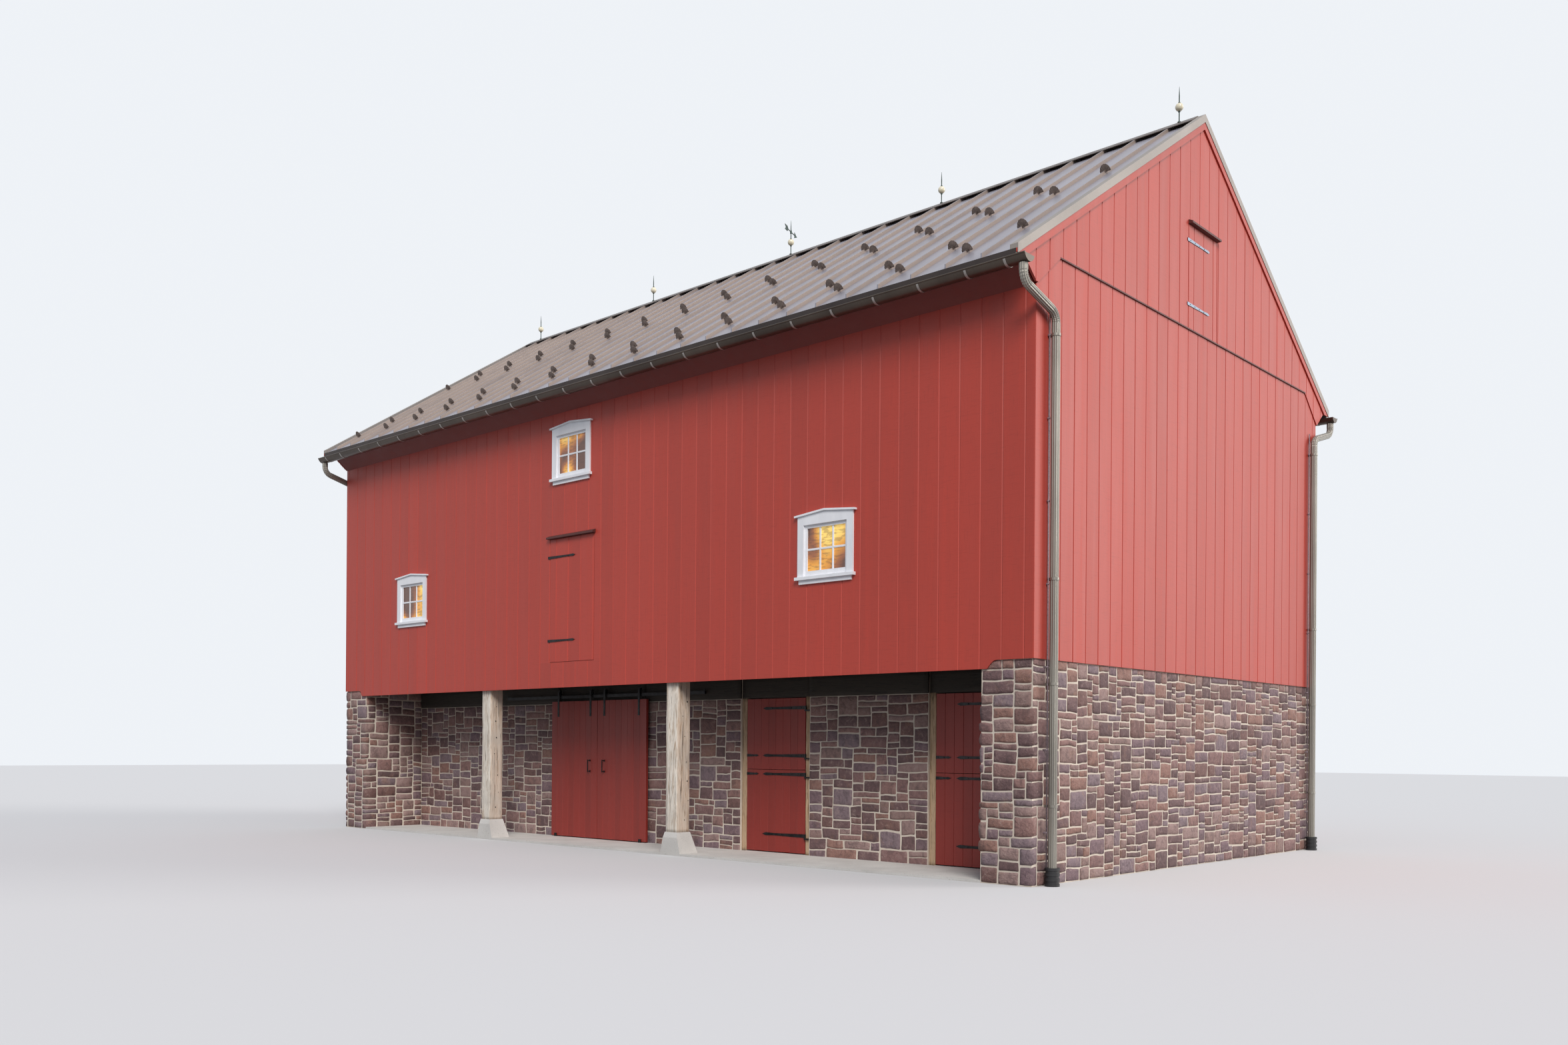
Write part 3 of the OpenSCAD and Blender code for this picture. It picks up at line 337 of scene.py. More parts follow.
def rubble():
    """Squared stone in mauve, brown and grey, each stone of its own tone."""
    tones = ((136, 104, 101), (148, 114, 108), (114, 88, 88), (156, 129, 124), (122, 91, 86), (134, 115, 120),
             (106, 82, 82), (146, 119, 113), (126, 103, 108), (150, 113, 102))
    n = new_material("rubble")
    n.ground(n.island(), *[(i / len(tones), tone) for i, tone in enumerate(tones)], steps=True)
    mottle = n.noise(11, 6, 0.7, distortion=0.8)
    n.cover(n.mask(mottle, 0.5, 0.36, 0.5), (76, 62, 62))
    n.cover(n.mask(mottle, 0.54, 0.7, 0.5), (178, 156, 148))
    n.cover(n.mask(n.noise(4.3, 4, 0.6), 0.58, 0.74, 0.4), (160, 122, 100))
    fine = n.noise(85, 5, 0.7)
    n.cover(n.mask(fine, 0.5, 0.32, 0.3), (60, 48, 48))
    n.bump(n.noise(24, 4, 0.6, distortion=0.4), 0.8, 0.02)
    n.bump(fine, 0.5, 0.004)
    return n.finish(n.math("MULTIPLY_ADD", fine, 0.2, 0.66))


def mortar():
    n = new_material("mortar")
    n.ground(n.noise(3, 5, 0.6), (0.3, (208, 194, 180)), (0.7, (228, 217, 202)))
    fine = n.noise(70, 5, 0.7)
    n.cover(n.mask(fine, 0.5, 0.3, 0.4), (176, 163, 150))
    n.bump(fine, 0.5, 0.004)
    return n.finish(0.9)


def sheet_metal(name, light, dark, metallic, rough, along=(1.0, 0.15, 0.15), upright=None):
    """Coated sheet with faint streaks along its run and a slight waviness."""
    n = new_material(name)
    n.ground(n.noise(0.8, 4, 0.55), (0.32, dark), (0.68, light))
    # upright: a colour painted on the faces that look along X, standing for the light on them
    if upright:
        n.paint_side_light(upright)
    streak = n.noise(5, 5, 0.6, along, 0.3)
    n.cover(n.mask(streak, 0.5, 0.8, 0.4), shade(dark, 0.85))
    n.cover(n.mask(n.noise(34, 4, 0.7), 0.55, 0.75, 0.25), shade(light, 1.15))
    n.bump(n.noise(2.2, 2, 0.4, (1.4, 0.35, 0.35)), 0.15, 0.02)
    return n.finish(n.math("MULTIPLY_ADD", streak, 0.22, rough), Metallic=metallic)


def bare_metal(name, light, dark, metallic, rough, scale=14, ends=None):
    n = new_material(name)
    tone = n.noise(scale, 5, 0.6)
    n.ground(tone, (0.35, dark), (0.7, light))
    # ends: a colour painted on the faces that look along X, standing for light on them
    if ends:
        n.paint_side_light(ends)
    n.bump(n.noise(scale * 4, 4), 0.2, 0.002)
    return n.finish(n.math("MULTIPLY_ADD", tone, 0.25, rough), Metallic=metallic)


def timber(name, light, dark, crack, along=(1.0, 1.0, 0.08), ends=None):
    """Weathered timber with grain, stains and drying checks along its run."""
    n = new_material(name)
    grain = n.noise(28, 8, 0.65, along, 1.2)
    n.ground(grain, (0.36, dark), (0.52, light), (0.75, shade(light, 0.86)))
    # ends: a colour painted on the faces that look along X, standing for the shade on them
    if ends:
        n.paint_side_light(ends, 0.45)
    n.cover(n.mask(n.noise(2.5, 4, 0.6), 0.4, 0.7, 0.6), shade(light, 0.76))
    n.cover(n.math("MULTIPLY", n.island(), 0.25), shade(light, 0.86))
    checks = n.noise(60, 3, 0.7, tuple(v * (0.4 if v < 0.5 else 1) for v in along), 0.6)
    n.cover(n.mask(checks, 0.41, 0.33, 0.85), crack)
    n.bump(grain, 0.5, 0.004)
    n.bump(n.mask(checks, 0.33, 0.41), 0.6, 0.005)
    return n.finish(0.82)


def concrete():
    n = new_material("concrete")
    n.ground(n.noise(1.8, 6, 0.6), (0.3, (206, 203, 198)), (0.7, (226, 223, 218)))
    pits = n.noise(55, 5, 0.7)
    n.cover(n.mask(pits, 0.42, 0.3, 0.5), (136, 132, 124))
    n.bump(pits, 0.35, 0.003)
    return n.finish(0.85)


def plain_paint(name, light, dark, rough=0.45):
    n = new_material(name)
    tone = n.noise(6, 5, 0.6, (1, 1, 0.3))
    n.ground(tone, (0.35, dark), (0.65, light))
    n.bump(n.noise(80, 3, 0.6, (1, 1, 0.1)), 0.12, 0.001)
    return n.finish(n.math("MULTIPLY_ADD", tone, 0.2, rough))


def painted_glow_glass():
    """Painted glow: panes with a patchy warm light, standing for the lit loft behind them, that shines by
    emission, with darker rows across it.
    """
    n = new_material("pane_painted_glow")
    n.ground(n.noise(1.7, 1, 0.4), (0.4, (84, 46, 28)), (0.48, (146, 82, 36)), (0.56, (216, 146, 40)),
             (0.66, (246, 208, 104)))
    n.cover(n.mask(n.noise(22, 2, 0.5, (0.4, 0.4, 1.6)), 0.5, 0.4, 0.4), (66, 36, 22))
    n.bump(n.noise(5, 2), 0.04, 0.01)
    return n.finish(0.05, Emission_Color=n.colour, Emission_Strength=0.42, Specular_IOR_Level=0.9)


def milk_glass():
    n = new_material("milk_glass")
    tone = n.noise(9, 3)
    n.ground(tone, (0.3, (226, 216, 186)), (0.7, (242, 234, 208)))
    n.bump(tone, 0.05, 0.004)
    return n.finish(0.18, Coat_Weight=0.4)


SIDING = painted_boards("barn_red", (178, 63, 49), 0.4, 0.035)
DOORS = painted_boards("door_red", (136, 43, 34), 0.42, 0.05)
# Painted shade: the drip caps and the strips on the gables' step get a dark brown standing for the shadow
# beneath them.
CAP_SHADE = painted_boards("cap_painted_shade", (78, 36, 32), 0.5)
# Painted shade: the soffit boards get a darker red than the siding, standing for the shadow under the eaves.
SOFFIT_SHADE = painted_boards("soffit_painted_shade", (118, 42, 35), 0.5)
RUBBLE = rubble()
# Painted light: the pans' slight lavender tint stands for the sky mirrored in them, and the warm brown on the
# seams' upright sides stands for the light falling on them.
ROOF = sheet_metal("pewter_sheet", (161, 158, 167), (148, 145, 153), 0.4, 0.32, upright=(190, 173, 160))
RIDGE = sheet_metal("ridge_sheet", (112, 102, 98), (92, 84, 80), 0.5, 0.35)
# Painted shade: a dark sheet standing for the shadowed edge of the roof over the gutters.
DRIP_SHADE = sheet_metal("drip_painted_shade", (64, 54, 50), (48, 40, 38), 0.4, 0.4)
GUARD = bare_metal("guard_bronze", (128, 114, 106), (96, 84, 78), 0.5, 0.34)
GUTTER = sheet_metal("gutter_sheet", (90, 80, 71), (69, 60, 53), 0.65, 0.24)
PIPE = sheet_metal("pipe_sheet", (150, 146, 137), (128, 124, 116), 0.55, 0.3, (1.0, 1.0, 0.1))
TRIM = sheet_metal("beige_sheet", (158, 150, 143), (144, 137, 130), 0.2, 0.42)
IRON = bare_metal("black_iron", (54, 53, 54), (32, 31, 32), 0.8, 0.25)
# Painted reflection: the hinges' faces that look along X, those on the gables, get a light blue-grey standing
# for the sky mirrored in them.
HINGE_PAINTED_SKY = bare_metal("hinge_iron_painted_sky", (54, 53, 54), (32, 31, 32), 0.8, 0.25, ends=(120, 132, 146))
STRAP = bare_metal("grey_strap", (178, 174, 170), (146, 142, 138), 0.6, 0.35)
ROD = bare_metal("rod_copper", (84, 100, 94), (54, 62, 60), 0.6, 0.45)
WIRE = bare_metal("conductor_braid", (168, 152, 158), (120, 108, 114), 0.5, 0.45, 60)
# Painted shade: the posts' faces that look along X get a darker, warmer tone standing for the shade on those
# sides.
POST_WOOD = timber("post_wood", (255, 246, 232), (178, 150, 122), (76, 58, 44), ends=(196, 156, 120))
FRAME_WOOD = timber("frame_wood", (212, 182, 148), (164, 132, 100), (78, 58, 44))
# Painted shade in part: this near-black wood stands for the deep shade under the forebay on the sawn timber,
# the lintel, the heads and the plates; the pegs are dark wood of their own.
DARK_WOOD_AND_SHADE = timber("dark_wood_and_shade", (48, 41, 34), (32, 27, 22), (18, 15, 12), (0.1, 1.0, 1.0))
WHITE = plain_paint("white_paint", (246, 248, 252), (236, 238, 243))
PLASTIC = plain_paint("black_plastic", (38, 38, 40), (26, 26, 28), 0.5)

by_slot = {"concrete": concrete(), "rubble_stone": mortar(), "weathered_timber": FRAME_WOOD,
           "sawn_timber": DARK_WOOD_AND_SHADE, "red_boards": SIDING, "red_door_boards": DOORS, "black_iron": IRON,
           "white_trim": WHITE, "window_glass": painted_glow_glass(), "roof_metal": ROOF, "beige_metal": TRIM,
           "gutter_metal": GUTTER, "bracket_metal": STRAP, "black_plastic": PLASTIC, "rod_metal": ROD,
           "ball_glass": milk_glass()}
by_node = {"hatch_hinges": HINGE_PAINTED_SKY, "cornices": SOFFIT_SHADE, "snow_guards": GUARD, "ridge_cap": RIDGE,
           "drip_caps": CAP_SHADE}
for part in frame["record"]["subparts"]:
    for material_slot in NODES[part["node"]].material_slots:
        material_slot.material = by_node.get(part["node"], by_slot[part["material_slot"]])


def fit(obj, body, slot, *stands_for):
    """Lets a piece ride on a body and hides the nodes that it stands for; the slot is not used."""
    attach(obj, body)
    if stands_for:
        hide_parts(*stands_for)
    return obj


# Value noise on a lattice, for uneven stone and hewn timber

def lattice(ix, iy, seed):
    """Scattered values from -1 to 1, one for each whole-numbered place."""
    h = (ix.astype(np.int64) * 374761393 + iy.astype(np.int64) * 668265263 + seed * 974711) & 0x7FFFFFFF
    h = ((h ^ (h >> 13)) * 1274126177) & 0x7FFFFFFF
    return ((h ^ (h >> 16)) & 0xFFFF) / 32767.5 - 1.0


def noise2(x, y, size, seed):
    x = np.asarray(x, float) / size
    y = np.asarray(y, float) / size
    ix, iy = np.floor(x), np.floor(y)
    fx, fy = x - ix, y - iy
    fx = fx * fx * (3 - 2 * fx)
    fy = fy * fy * (3 - 2 * fy)
    a = lattice(ix, iy, seed) * (1 - fx) + lattice(ix + 1, iy, seed) * fx
    b = lattice(ix, iy + 1, seed) * (1 - fx) + lattice(ix + 1, iy + 1, seed) * fx
    return a * (1 - fy) + b * fy


def layered(x, y, layers, seed):
    """Sum of noises, each with its weight, size, step of the seed and shift in x and y."""
    return sum(weight * noise2(x + dx, y + dy, size, seed + step) for weight, size, step, dx, dy in layers)


# Rubble: squared stones packed on a small grid, on the wall faces unrolled along a path in plan

UNIT = 0.04
STONE_TALL = ((2, 3, 4, 5, 6), (0.24, 0.34, 0.26, 0.11, 0.05))
STONE_WIDE = ((4, 5, 6, 7, 8, 9, 10, 12, 14), (0.03, 0.07, 0.11, 0.16, 0.18, 0.16, 0.15, 0.09, 0.05))
COARSE = ((0, 0.07, 0.35, 0.65, 0.93, 1), (0, 0.1, 0.5, 0.9, 1))
FINE = ((0, 0.045, 0.15, 0.32, 0.5, 0.68, 0.85, 0.955, 1), (0, 0.07, 0.25, 0.5, 0.75, 0.93, 1))
LEAST_WIDE = 3
LEAST_TALL = 2
LYING_SHARE = 0.88
MITRE_REACH = 0.03
JOINT = 0.0052
JOINT_SPREAD = (-0.002, 0.004)
TOP_GAP = 0.004
CORNER_REACH = 0.02
CORNER_CUT = (0.004, 0.018)
WANDER_U = ((0.010, 0.26, 0, 0, 0), (0.005, 0.08, 3, 0, 0))
WANDER_Z = ((0.011, 0.22, 5, 7, 3), (0.005, 0.07, 7, 0, 0))
END_FADE = 0.05
RIM_FADE = 0.03
ROUGHNESS = ((0.5, 0.07, 11, 0, 0), (0.4, 0.03, 13, 0, 0))
BULGE = (0.5, 0.9)
LEAST_BULGE = 0.2
TILT = 0.35
ROUGH_SHARE = 0.25
SHOULDER = 0.6
SHOULDER_U = 0.08
SHOULDER_Z = 0.11
STONE_BACK = 0.004
RELIEF = 0.021
RECESS_RELIEF = 0.018


def pack_stones(length, top, rand):
    """Rectangles (u0, u1, z0, z1) that fill a strip of wall from the ground to the given height."""
    cols = int(round(length / UNIT))
    rows = int(round(top / UNIT))
    step_u, step_z = length / cols, top / rows
    taken = np.zeros((rows, cols), bool)
    widest = STONE_WIDE[0][-1]
    stones = []
    for r in range(rows):
        c = 0
        while c < cols:
            if taken[r, c]:
                c += 1
                continue
            run = 1
            while c + run < cols and run < widest + LEAST_WIDE and not taken[r, c + run]:
                run += 1
            tall = int(rand.choice(STONE_TALL[0], p=STONE_TALL[1]))
            wide = min(int(rand.choice(STONE_WIDE[0], p=STONE_WIDE[1])), run)
            if rand.random() < LYING_SHARE:
                tall = min(tall, max(wide - 1, LEAST_TALL))
            if 0 < run - wide < LEAST_WIDE:
                wide = run if run <= widest else wide - LEAST_WIDE
            if rows - r - tall < LEAST_TALL:
                tall = rows - r
            high = 1
            while high < tall and not taken[r + high, c:c + wide].any():
                high += 1
            taken[r:r + high, c:c + wide] = True
            stones.append((c * step_u, (c + wide) * step_u, r * step_z, (r + high) * step_z))
            c += wide
    return np.array(stones)


class WallLine:
    """A path in plan, walked with the open air on its right-hand side."""

    def __init__(self, *points):
        self.p = np.array(points, float)
        seg = np.diff(self.p, axis=0)
        self.len = np.hypot(seg[:, 0], seg[:, 1])
        self.dir = seg / self.len[:, None]
        self.start = np.concatenate([[0], np.cumsum(self.len)])

    def place(self, u, out):
        """The plan points at u along the path, out metres off the wall, mitred at the corners."""
        u = np.clip(u, 0, self.start[-1] - 1e-9)
        i = np.clip(np.searchsorted(self.start, u, side="right") - 1, 0, len(self.len) - 1)
        d = self.dir[i]
        xy = self.p[i] + d * (u - self.start[i])[..., None]
        shift = np.stack([d[..., 1], -d[..., 0]], axis=-1) * out[..., None]
        for k in range(1, len(self.len)):
            before, after = self.dir[k - 1], self.dir[k]
            blend = np.clip(1 - np.abs(u - self.start[k]) / MITRE_REACH, 0, 1)[..., None]
            mitre = (np.array([before[1], -before[0]]) + np.array([after[1], -after[0]])) * out[..., None]
            shift = shift * (1 - blend) + mitre * blend
        return xy + shift


def near_any(u, places, reach):
    """Grows from nothing at each of the places to one beyond their reach."""
    fade = np.ones_like(u)
    for place in places:
        fade = np.minimum(fade, np.clip(np.abs(u - place) / reach, 0, 1))
    return fade


def stone_mesh(name, line, stones, ends, grid, relief, rand, seed, top):
    """One closed, uneven stone over each rectangle."""
    count = len(stones)
    jitter = rand.uniform(*JOINT_SPREAD, (4, count))
    u0 = stones[:, 0] + JOINT + jitter[0]
    u1 = stones[:, 1] - JOINT - jitter[1]
    z0 = stones[:, 2] + JOINT + jitter[2]
    z1 = np.where(stones[:, 3] >= top - HAIR, top - TOP_GAP, stones[:, 3] - JOINT - jitter[3])
    S, T = np.meshgrid(*[np.array(g) for g in grid])
    uu = u0[:, None, None] + (u1 - u0)[:, None, None] * S
    for corner in line.start[1:-1]:
        for k in np.flatnonzero((u0 < corner - CORNER_REACH) & (u1 > corner + CORNER_REACH)):
            nearest = np.argmin(np.abs(uu[k, 0, 1:-1] - corner)) + 1
            uu[k, :, nearest] = corner
    zz = z0[:, None, None] + (z1 - z0)[:, None, None] * T
    edge_s = np.minimum(S, 1 - S)
    edge_t = np.minimum(T, 1 - T)
    draw = rand.uniform(*CORNER_CUT, (count, 1, 1)) * ((edge_s == 0) & (edge_t == 0))
    uu = uu + draw * np.sign(0.5 - S)
    zz = zz + draw * np.sign(0.5 - T)
    uw = uu + layered(uu, zz, WANDER_U, seed) * near_any(uu, list(line.start) + ends, END_FADE)
    fade = np.clip(np.minimum(zz, top - zz) / RIM_FADE, 0, 1)
    zw = np.clip(zz + layered(uu, zz, WANDER_Z, seed) * fade, 0.0, top - TOP_GAP / 2)
    tilt = rand.uniform(-TILT, TILT, (2, count, 1, 1))
    body = rand.uniform(*BULGE, (count, 1, 1)) + tilt[0] * (S - 0.5) + tilt[1] * (T - 0.5)
    body = body + ROUGH_SHARE * layered(uw, zw, ROUGHNESS, seed)
    shoulder = np.where((edge_s < SHOULDER_U) | (edge_t < SHOULDER_Z), SHOULDER, 1.0)
    inner = (edge_s > 0) & (edge_t > 0)
    out = np.where(inner, relief * np.clip(body, LEAST_BULGE, 1.0) * shoulder, -STONE_BACK)
    xyz = np.concatenate([line.place(uw, out), zw[..., None]], axis=-1).reshape(-1, 3)
    at = np.arange(S.size).reshape(S.shape)
    back = (*at[:, 0], *at[-1, 1:], *at[-2::-1, -1], *at[0, -2:0:-1])
    patch = [*zip(at[:-1, :-1].flat, at[:-1, 1:].flat, at[1:, 1:].flat, at[1:, :-1].flat), back]
    faces = [tuple(base + i for i in face) for base in range(0, count * S.size, S.size) for face in patch]
    return fit(add_mesh(name, xyz, faces, RUBBLE, True), "barn", "rubble_stone")


def rubble_wall(line, spans, pieces, relief, seed, top=STONE_TOP):
    """Packs stones over the spans of a line and makes a piece of each stretch named in pieces."""
    rand = np.random.default_rng(seed)
    packed = []
    for a, b in spans:
        stones = pack_stones(b - a, top, rand)
        stones[:, :2] += a
        packed.append(stones)
    stones = np.concatenate(packed)
    ends = [v for span in spans for v in span]
    middle = (stones[:, 0] + stones[:, 1]) / 2
    first = 0.0
    for name, last, grid in pieces:
        chosen = stones[(middle >= first) & (middle < last)]
        stone_mesh(name, line, chosen, ends, grid, relief, rand, seed, top)
        first = last


outer = WallLine((PIER_X, RECESS_Y), (PIER_X, -STONE_Y), (STONE_X, -STONE_Y), (STONE_X, STONE_Y),
                 (-STONE_X, STONE_Y), (-STONE_X, -STONE_Y), (-PIER_X, -STONE_Y), (-PIER_X, RECESS_Y))
rubble_wall(outer, [(0, outer.start[-1])],
            [("right_rubble", outer.start[3], FINE), ("rear_rubble", outer.start[4], COARSE),
             ("left_rubble", outer.start[-1], COARSE)], RELIEF, 21)

recess = WallLine((-PIER_X, RECESS_Y), (PIER_X, RECESS_Y))
way_low, way_high = box("left_sliding_door")[0].x, box("right_sliding_door")[1].x
SLIDE_LAP = 0.1
panels = [-PIER_X, way_low + SLIDE_LAP, way_high - SLIDE_LAP]
for side in ("left", "right"):
    leaf_low, leaf_high = box(side + "_dutch_upper")
    panels += [leaf_low.x - LEAF_GAP - JAMB, leaf_high.x + LEAF_GAP + JAMB]
panels.append(PIER_X)
rubble_wall(recess, [(a + PIER_X, b + PIER_X) for a, b in zip(panels[::2], panels[1::2])],
            [("front_rubble", 2 * PIER_X, FINE)], RECESS_RELIEF, 24, DOOR_HEAD)


# Boards: each one a closed plank with eased long edges, cut round the openings

EASE = 0.005
BEVEL = 0.013
BEVEL_DEEP = 0.009
GAP = 0.001
FACE_SPREAD = 0.0022
LEAST_STRIP = 0.015
LEAST_BOARD = 0.02


def skirt_z(x):
    """Lower edge of the front boards, which steps up to the piers in a curve."""
    drop = STONE_TOP - SKIRT_LOW
    step = HALF_X - SKIRT_END
    run = abs(x) - (step - OGEE_W)
    if abs(x) >= step:
        return STONE_TOP
    run = min(max(run, 0), drop)
    return SKIRT_LOW + math.sqrt(drop ** 2 - (drop - run) ** 2) if run < drop else STONE_TOP


def level(z):
    return lambda x: z


def plank(shape, a, b, low, high, face, steps, place):
    """A plank from a to b across, between low(x) and high(x), with its face at the given depth."""
    left, right = a + GAP, b - GAP
    xs = [left] + list(np.linspace(left + EASE, right - BEVEL, steps + 1)) + [right]
    rings = []
    for i, x in enumerate(xs):
        front = face + {0: EASE, len(xs) - 1: BEVEL_DEEP}.get(i, 0.0)
        back = BOARD_T - HAIR
        rings += [(x, back, low(x)), (x, back, high(x)), (x, front, high(x)), (x, front, low(x))]
    shape.skin(rings, 4, place)


def board_wall(shape, edges, low, high, holes, place, seed, steps=1):
    """Planks between the edges, whole above and below each hole and cut beside it."""
    rand = np.random.default_rng(seed)
    for a, b in zip(edges[:-1], edges[1:]):
        face = float(rand.uniform(0.0, FACE_SPREAD))
        bottom = low
        met = [hole for hole in holes if hole[0] < b and hole[1] > a]
        for left, right, sill, head in sorted(met, key=lambda hole: hole[2]):
            plank(shape, a, b, bottom, level(sill), face, steps, place)
            for c, d in ((a, left), (right, b)):
                if d - c > LEAST_STRIP:
                    plank(shape, c, d, level(sill), level(head), face, 1, place)
            bottom = level(head)
        plank(shape, a, b, bottom, high, face, steps, place)


def facing(x, y, cos, sin):
    """Turns a wall drawn in (across, depth, height) to its side and carries it to a point in plan."""
    return lambda v: (x + cos * v[0] - sin * v[1], y + sin * v[0] + cos * v[1], v[2])


def edges_from(first, last, start):
    """Board joints at the board pitch, counted from start, between two ends."""
    x = start - math.floor((start - first - LEAST_BOARD) / BOARD_PITCH) * BOARD_PITCH
    edges = [first]
    while x < last - LEAST_BOARD:
        edges.append(x)
        x += BOARD_PITCH
    return edges + [last]


FRONT = facing(0, -HALF_Y, 1, 0)
REAR = facing(0, HALF_Y, -1, 0)
LOWER_RIGHT = facing(HALF_X, 0, 0, 1)
LOWER_LEFT = facing(-HALF_X, 0, 0, -1)
UPPER_RIGHT = facing(UPPER_X, 0, 0, 1)
UPPER_LEFT = facing(-UPPER_X, 0, 0, -1)
FRONT_JOINT = HALF_X - 0.13
GABLE_JOINT = -HALF_Y + 0.57

# Openings in the boards: three windows, the hatch and one hatch in each gable
WINDOWS = ((-5.28, 3.71), (-0.735, 5.71), (4.51, 3.71))
SASH_W = 0.042
SASH_FOOT = 0.075
PANE_LIP = 0.015
WIN_HALF = (WINDOWS[0][0] - PANE_LOW.x) + SASH_W + PANE_LIP
WIN_SILL = 0.095
WIN_HEAD = 0.787
HATCH_GAP = 0.007
HATCH = (-1.27, -0.17, 2.9, 4.86)
LOFT_HATCH = (-0.43, 0.47, BELT_Z, BELT_Z + 1.42)
LEFT_HATCH = (-LOFT_HATCH[1], -LOFT_HATCH[0]) + LOFT_HATCH[2:]
front_holes = [(x - WIN_HALF, x + WIN_HALF, z + WIN_SILL, z + WIN_HEAD) for x, z in WINDOWS] + [HATCH]
front_edges = edges_from(-HALF_X + HAIR, HALF_X - HAIR, FRONT_JOINT)

front_boards = Shape()
board_wall(front_boards, front_edges, skirt_z, level(WALL_TOP), front_holes, FRONT, 31, 6)
behind = sorted([-HALF_X + BOARD_T, HALF_X - BOARD_T] + [x for hole in front_holes for x in hole[:2]])
for c, d in zip(behind[:-1], behind[1:]):
    foot = BEAM_TOP
    for hole in sorted([h for h in front_holes if h[0] < (c + d) / 2 < h[1]], key=lambda h: h[2]):
        front_boards.box((c, BOARD_T, foot), (d, WALL_T, hole[2]), place=FRONT)
        foot = hole[3]
    front_boards.box((c, BOARD_T, foot), (d, WALL_T, WALL_TOP), place=FRONT)
for side in (-1, 1):
    near, far = side * (HALF_X - WALL_T), side * (HALF_X - BOARD_T)
    front_boards.box((near, BOARD_T, STONE_TOP), (far, WALL_T, BEAM_TOP), place=FRONT)
fit(front_boards.build("front_boards", SIDING), "barn", "red_boards", "front_siding")

rear_boards = Shape()
board_wall(rear_boards, front_edges, level(STONE_TOP), level(WALL_TOP), [], REAR, 32)
rear_boards.box((-HALF_X + BOARD_T, BOARD_T, STONE_TOP), (HALF_X - BOARD_T, WALL_T, WALL_TOP), place=REAR)
fit(rear_boards.build("rear_boards", SIDING), "barn", "red_boards", "rear_siding")


ROOF_GAP = 0.0003
FRAME_Y = HALF_Y - WALL_T


def belt(y):
    """Where the lower and upper boards of a gable meet: level, and down along the cornice at its ends."""
    return min(BELT_Z, WALL_TOP + abs(HALF_Y - abs(y)) * SOFFIT_PITCH)


def roof_under(y):
    return RIDGE_Z - abs(y) * ROOF_PITCH - ROOF_DEEP - ROOF_GAP


lower_boards = Shape()
for place in (LOWER_RIGHT, LOWER_LEFT):
    joints = edges_from(-HALF_Y, HALF_Y, GABLE_JOINT)
    board_wall(lower_boards, joints, level(STONE_TOP), belt, [], place, 33, 4)
lower_frame = [(-FRAME_Y, STONE_TOP), (FRAME_Y, STONE_TOP), (FRAME_Y, belt(FRAME_Y)), (FLAT_Y, BELT_Z),
               (-FLAT_Y, BELT_Z), (-FRAME_Y, belt(FRAME_Y))]
for side in (1, -1):
    lower_boards.prism(lower_frame, 0, side * (HALF_X - WALL_T), side * (HALF_X - BOARD_T))
fit(lower_boards.build("lower_gable_boards", SIDING), "barn", "red_boards", "lower_gables")

upper_boards = Shape()
tip_y = box("upper_gables")[1].y
upper_edges = edges_from(-tip_y, tip_y, GABLE_JOINT)
for place, hole in ((UPPER_RIGHT, LOFT_HATCH), (UPPER_LEFT, LEFT_HATCH)):
    board_wall(upper_boards, upper_edges, belt, roof_under, [hole], place, 34, 6)
y0, y1, z0, z1 = LOFT_HATCH
upper_frames = [[(y0, BELT_Z), (y0, roof_under(y0)), (-FRAME_Y, roof_under(FRAME_Y)),
                 (-FRAME_Y, belt(FRAME_Y)), (-FLAT_Y, BELT_Z)],
                [(y1, BELT_Z), (FLAT_Y, BELT_Z), (FRAME_Y, belt(FRAME_Y)), (FRAME_Y, roof_under(FRAME_Y)),
                 (y1, roof_under(y1))],
                [(y0, z1), (y1, z1), (y1, roof_under(y1)), (0, roof_under(0)), (y0, roof_under(y0))]]
for outline in upper_frames:
    for side in (1, -1):
        upper_boards.prism(outline, 0, side * (HALF_X - WALL_T), side * (HALF_X - BOARD_T))
fit(upper_boards.build("upper_gable_boards", SIDING), "barn", "red_boards", "upper_gables")

# Hatches: boards with ledges behind
LEDGE_H = 0.12
LEDGE_T = 0.025
LEDGE_IN = 0.06
LEDGE_END = 0.19
LEDGE_EASE = 0.003
HATCH_BOARD = 0.17


def hatch(shape, opening, ledges, place, seed):
    a, b, low, high = opening
    board_wall(shape, edges_from(a + HATCH_GAP, b - HATCH_GAP, a + HATCH_BOARD), level(low + HATCH_GAP),
               level(high - HATCH_GAP), [], place, seed)
    for z in np.linspace(low + LEDGE_END, high - LEDGE_END - LEDGE_H, ledges):
        near, far = (a + LEDGE_IN, BOARD_T - HAIR, z), (b - LEDGE_IN, BOARD_T + LEDGE_T, z + LEDGE_H)
        shape.box(near, far, LEDGE_EASE, place)


hatches = Shape()
hatch(hatches, HATCH, 3, FRONT, 35)
hatch(hatches, LOFT_HATCH, 2, UPPER_RIGHT, 36)
hatch(hatches, LEFT_HATCH, 2, UPPER_LEFT, 37)
fit(hatches.build("hatch_boards", SIDING), "barn", "red_boards", "board_hatches")


# Door leaves of upright boards with ledges behind, in place of the plain leaves

LEAF_T = 0.045
LEAF_EASE = 0.004
LEAF_BOARDS = 8


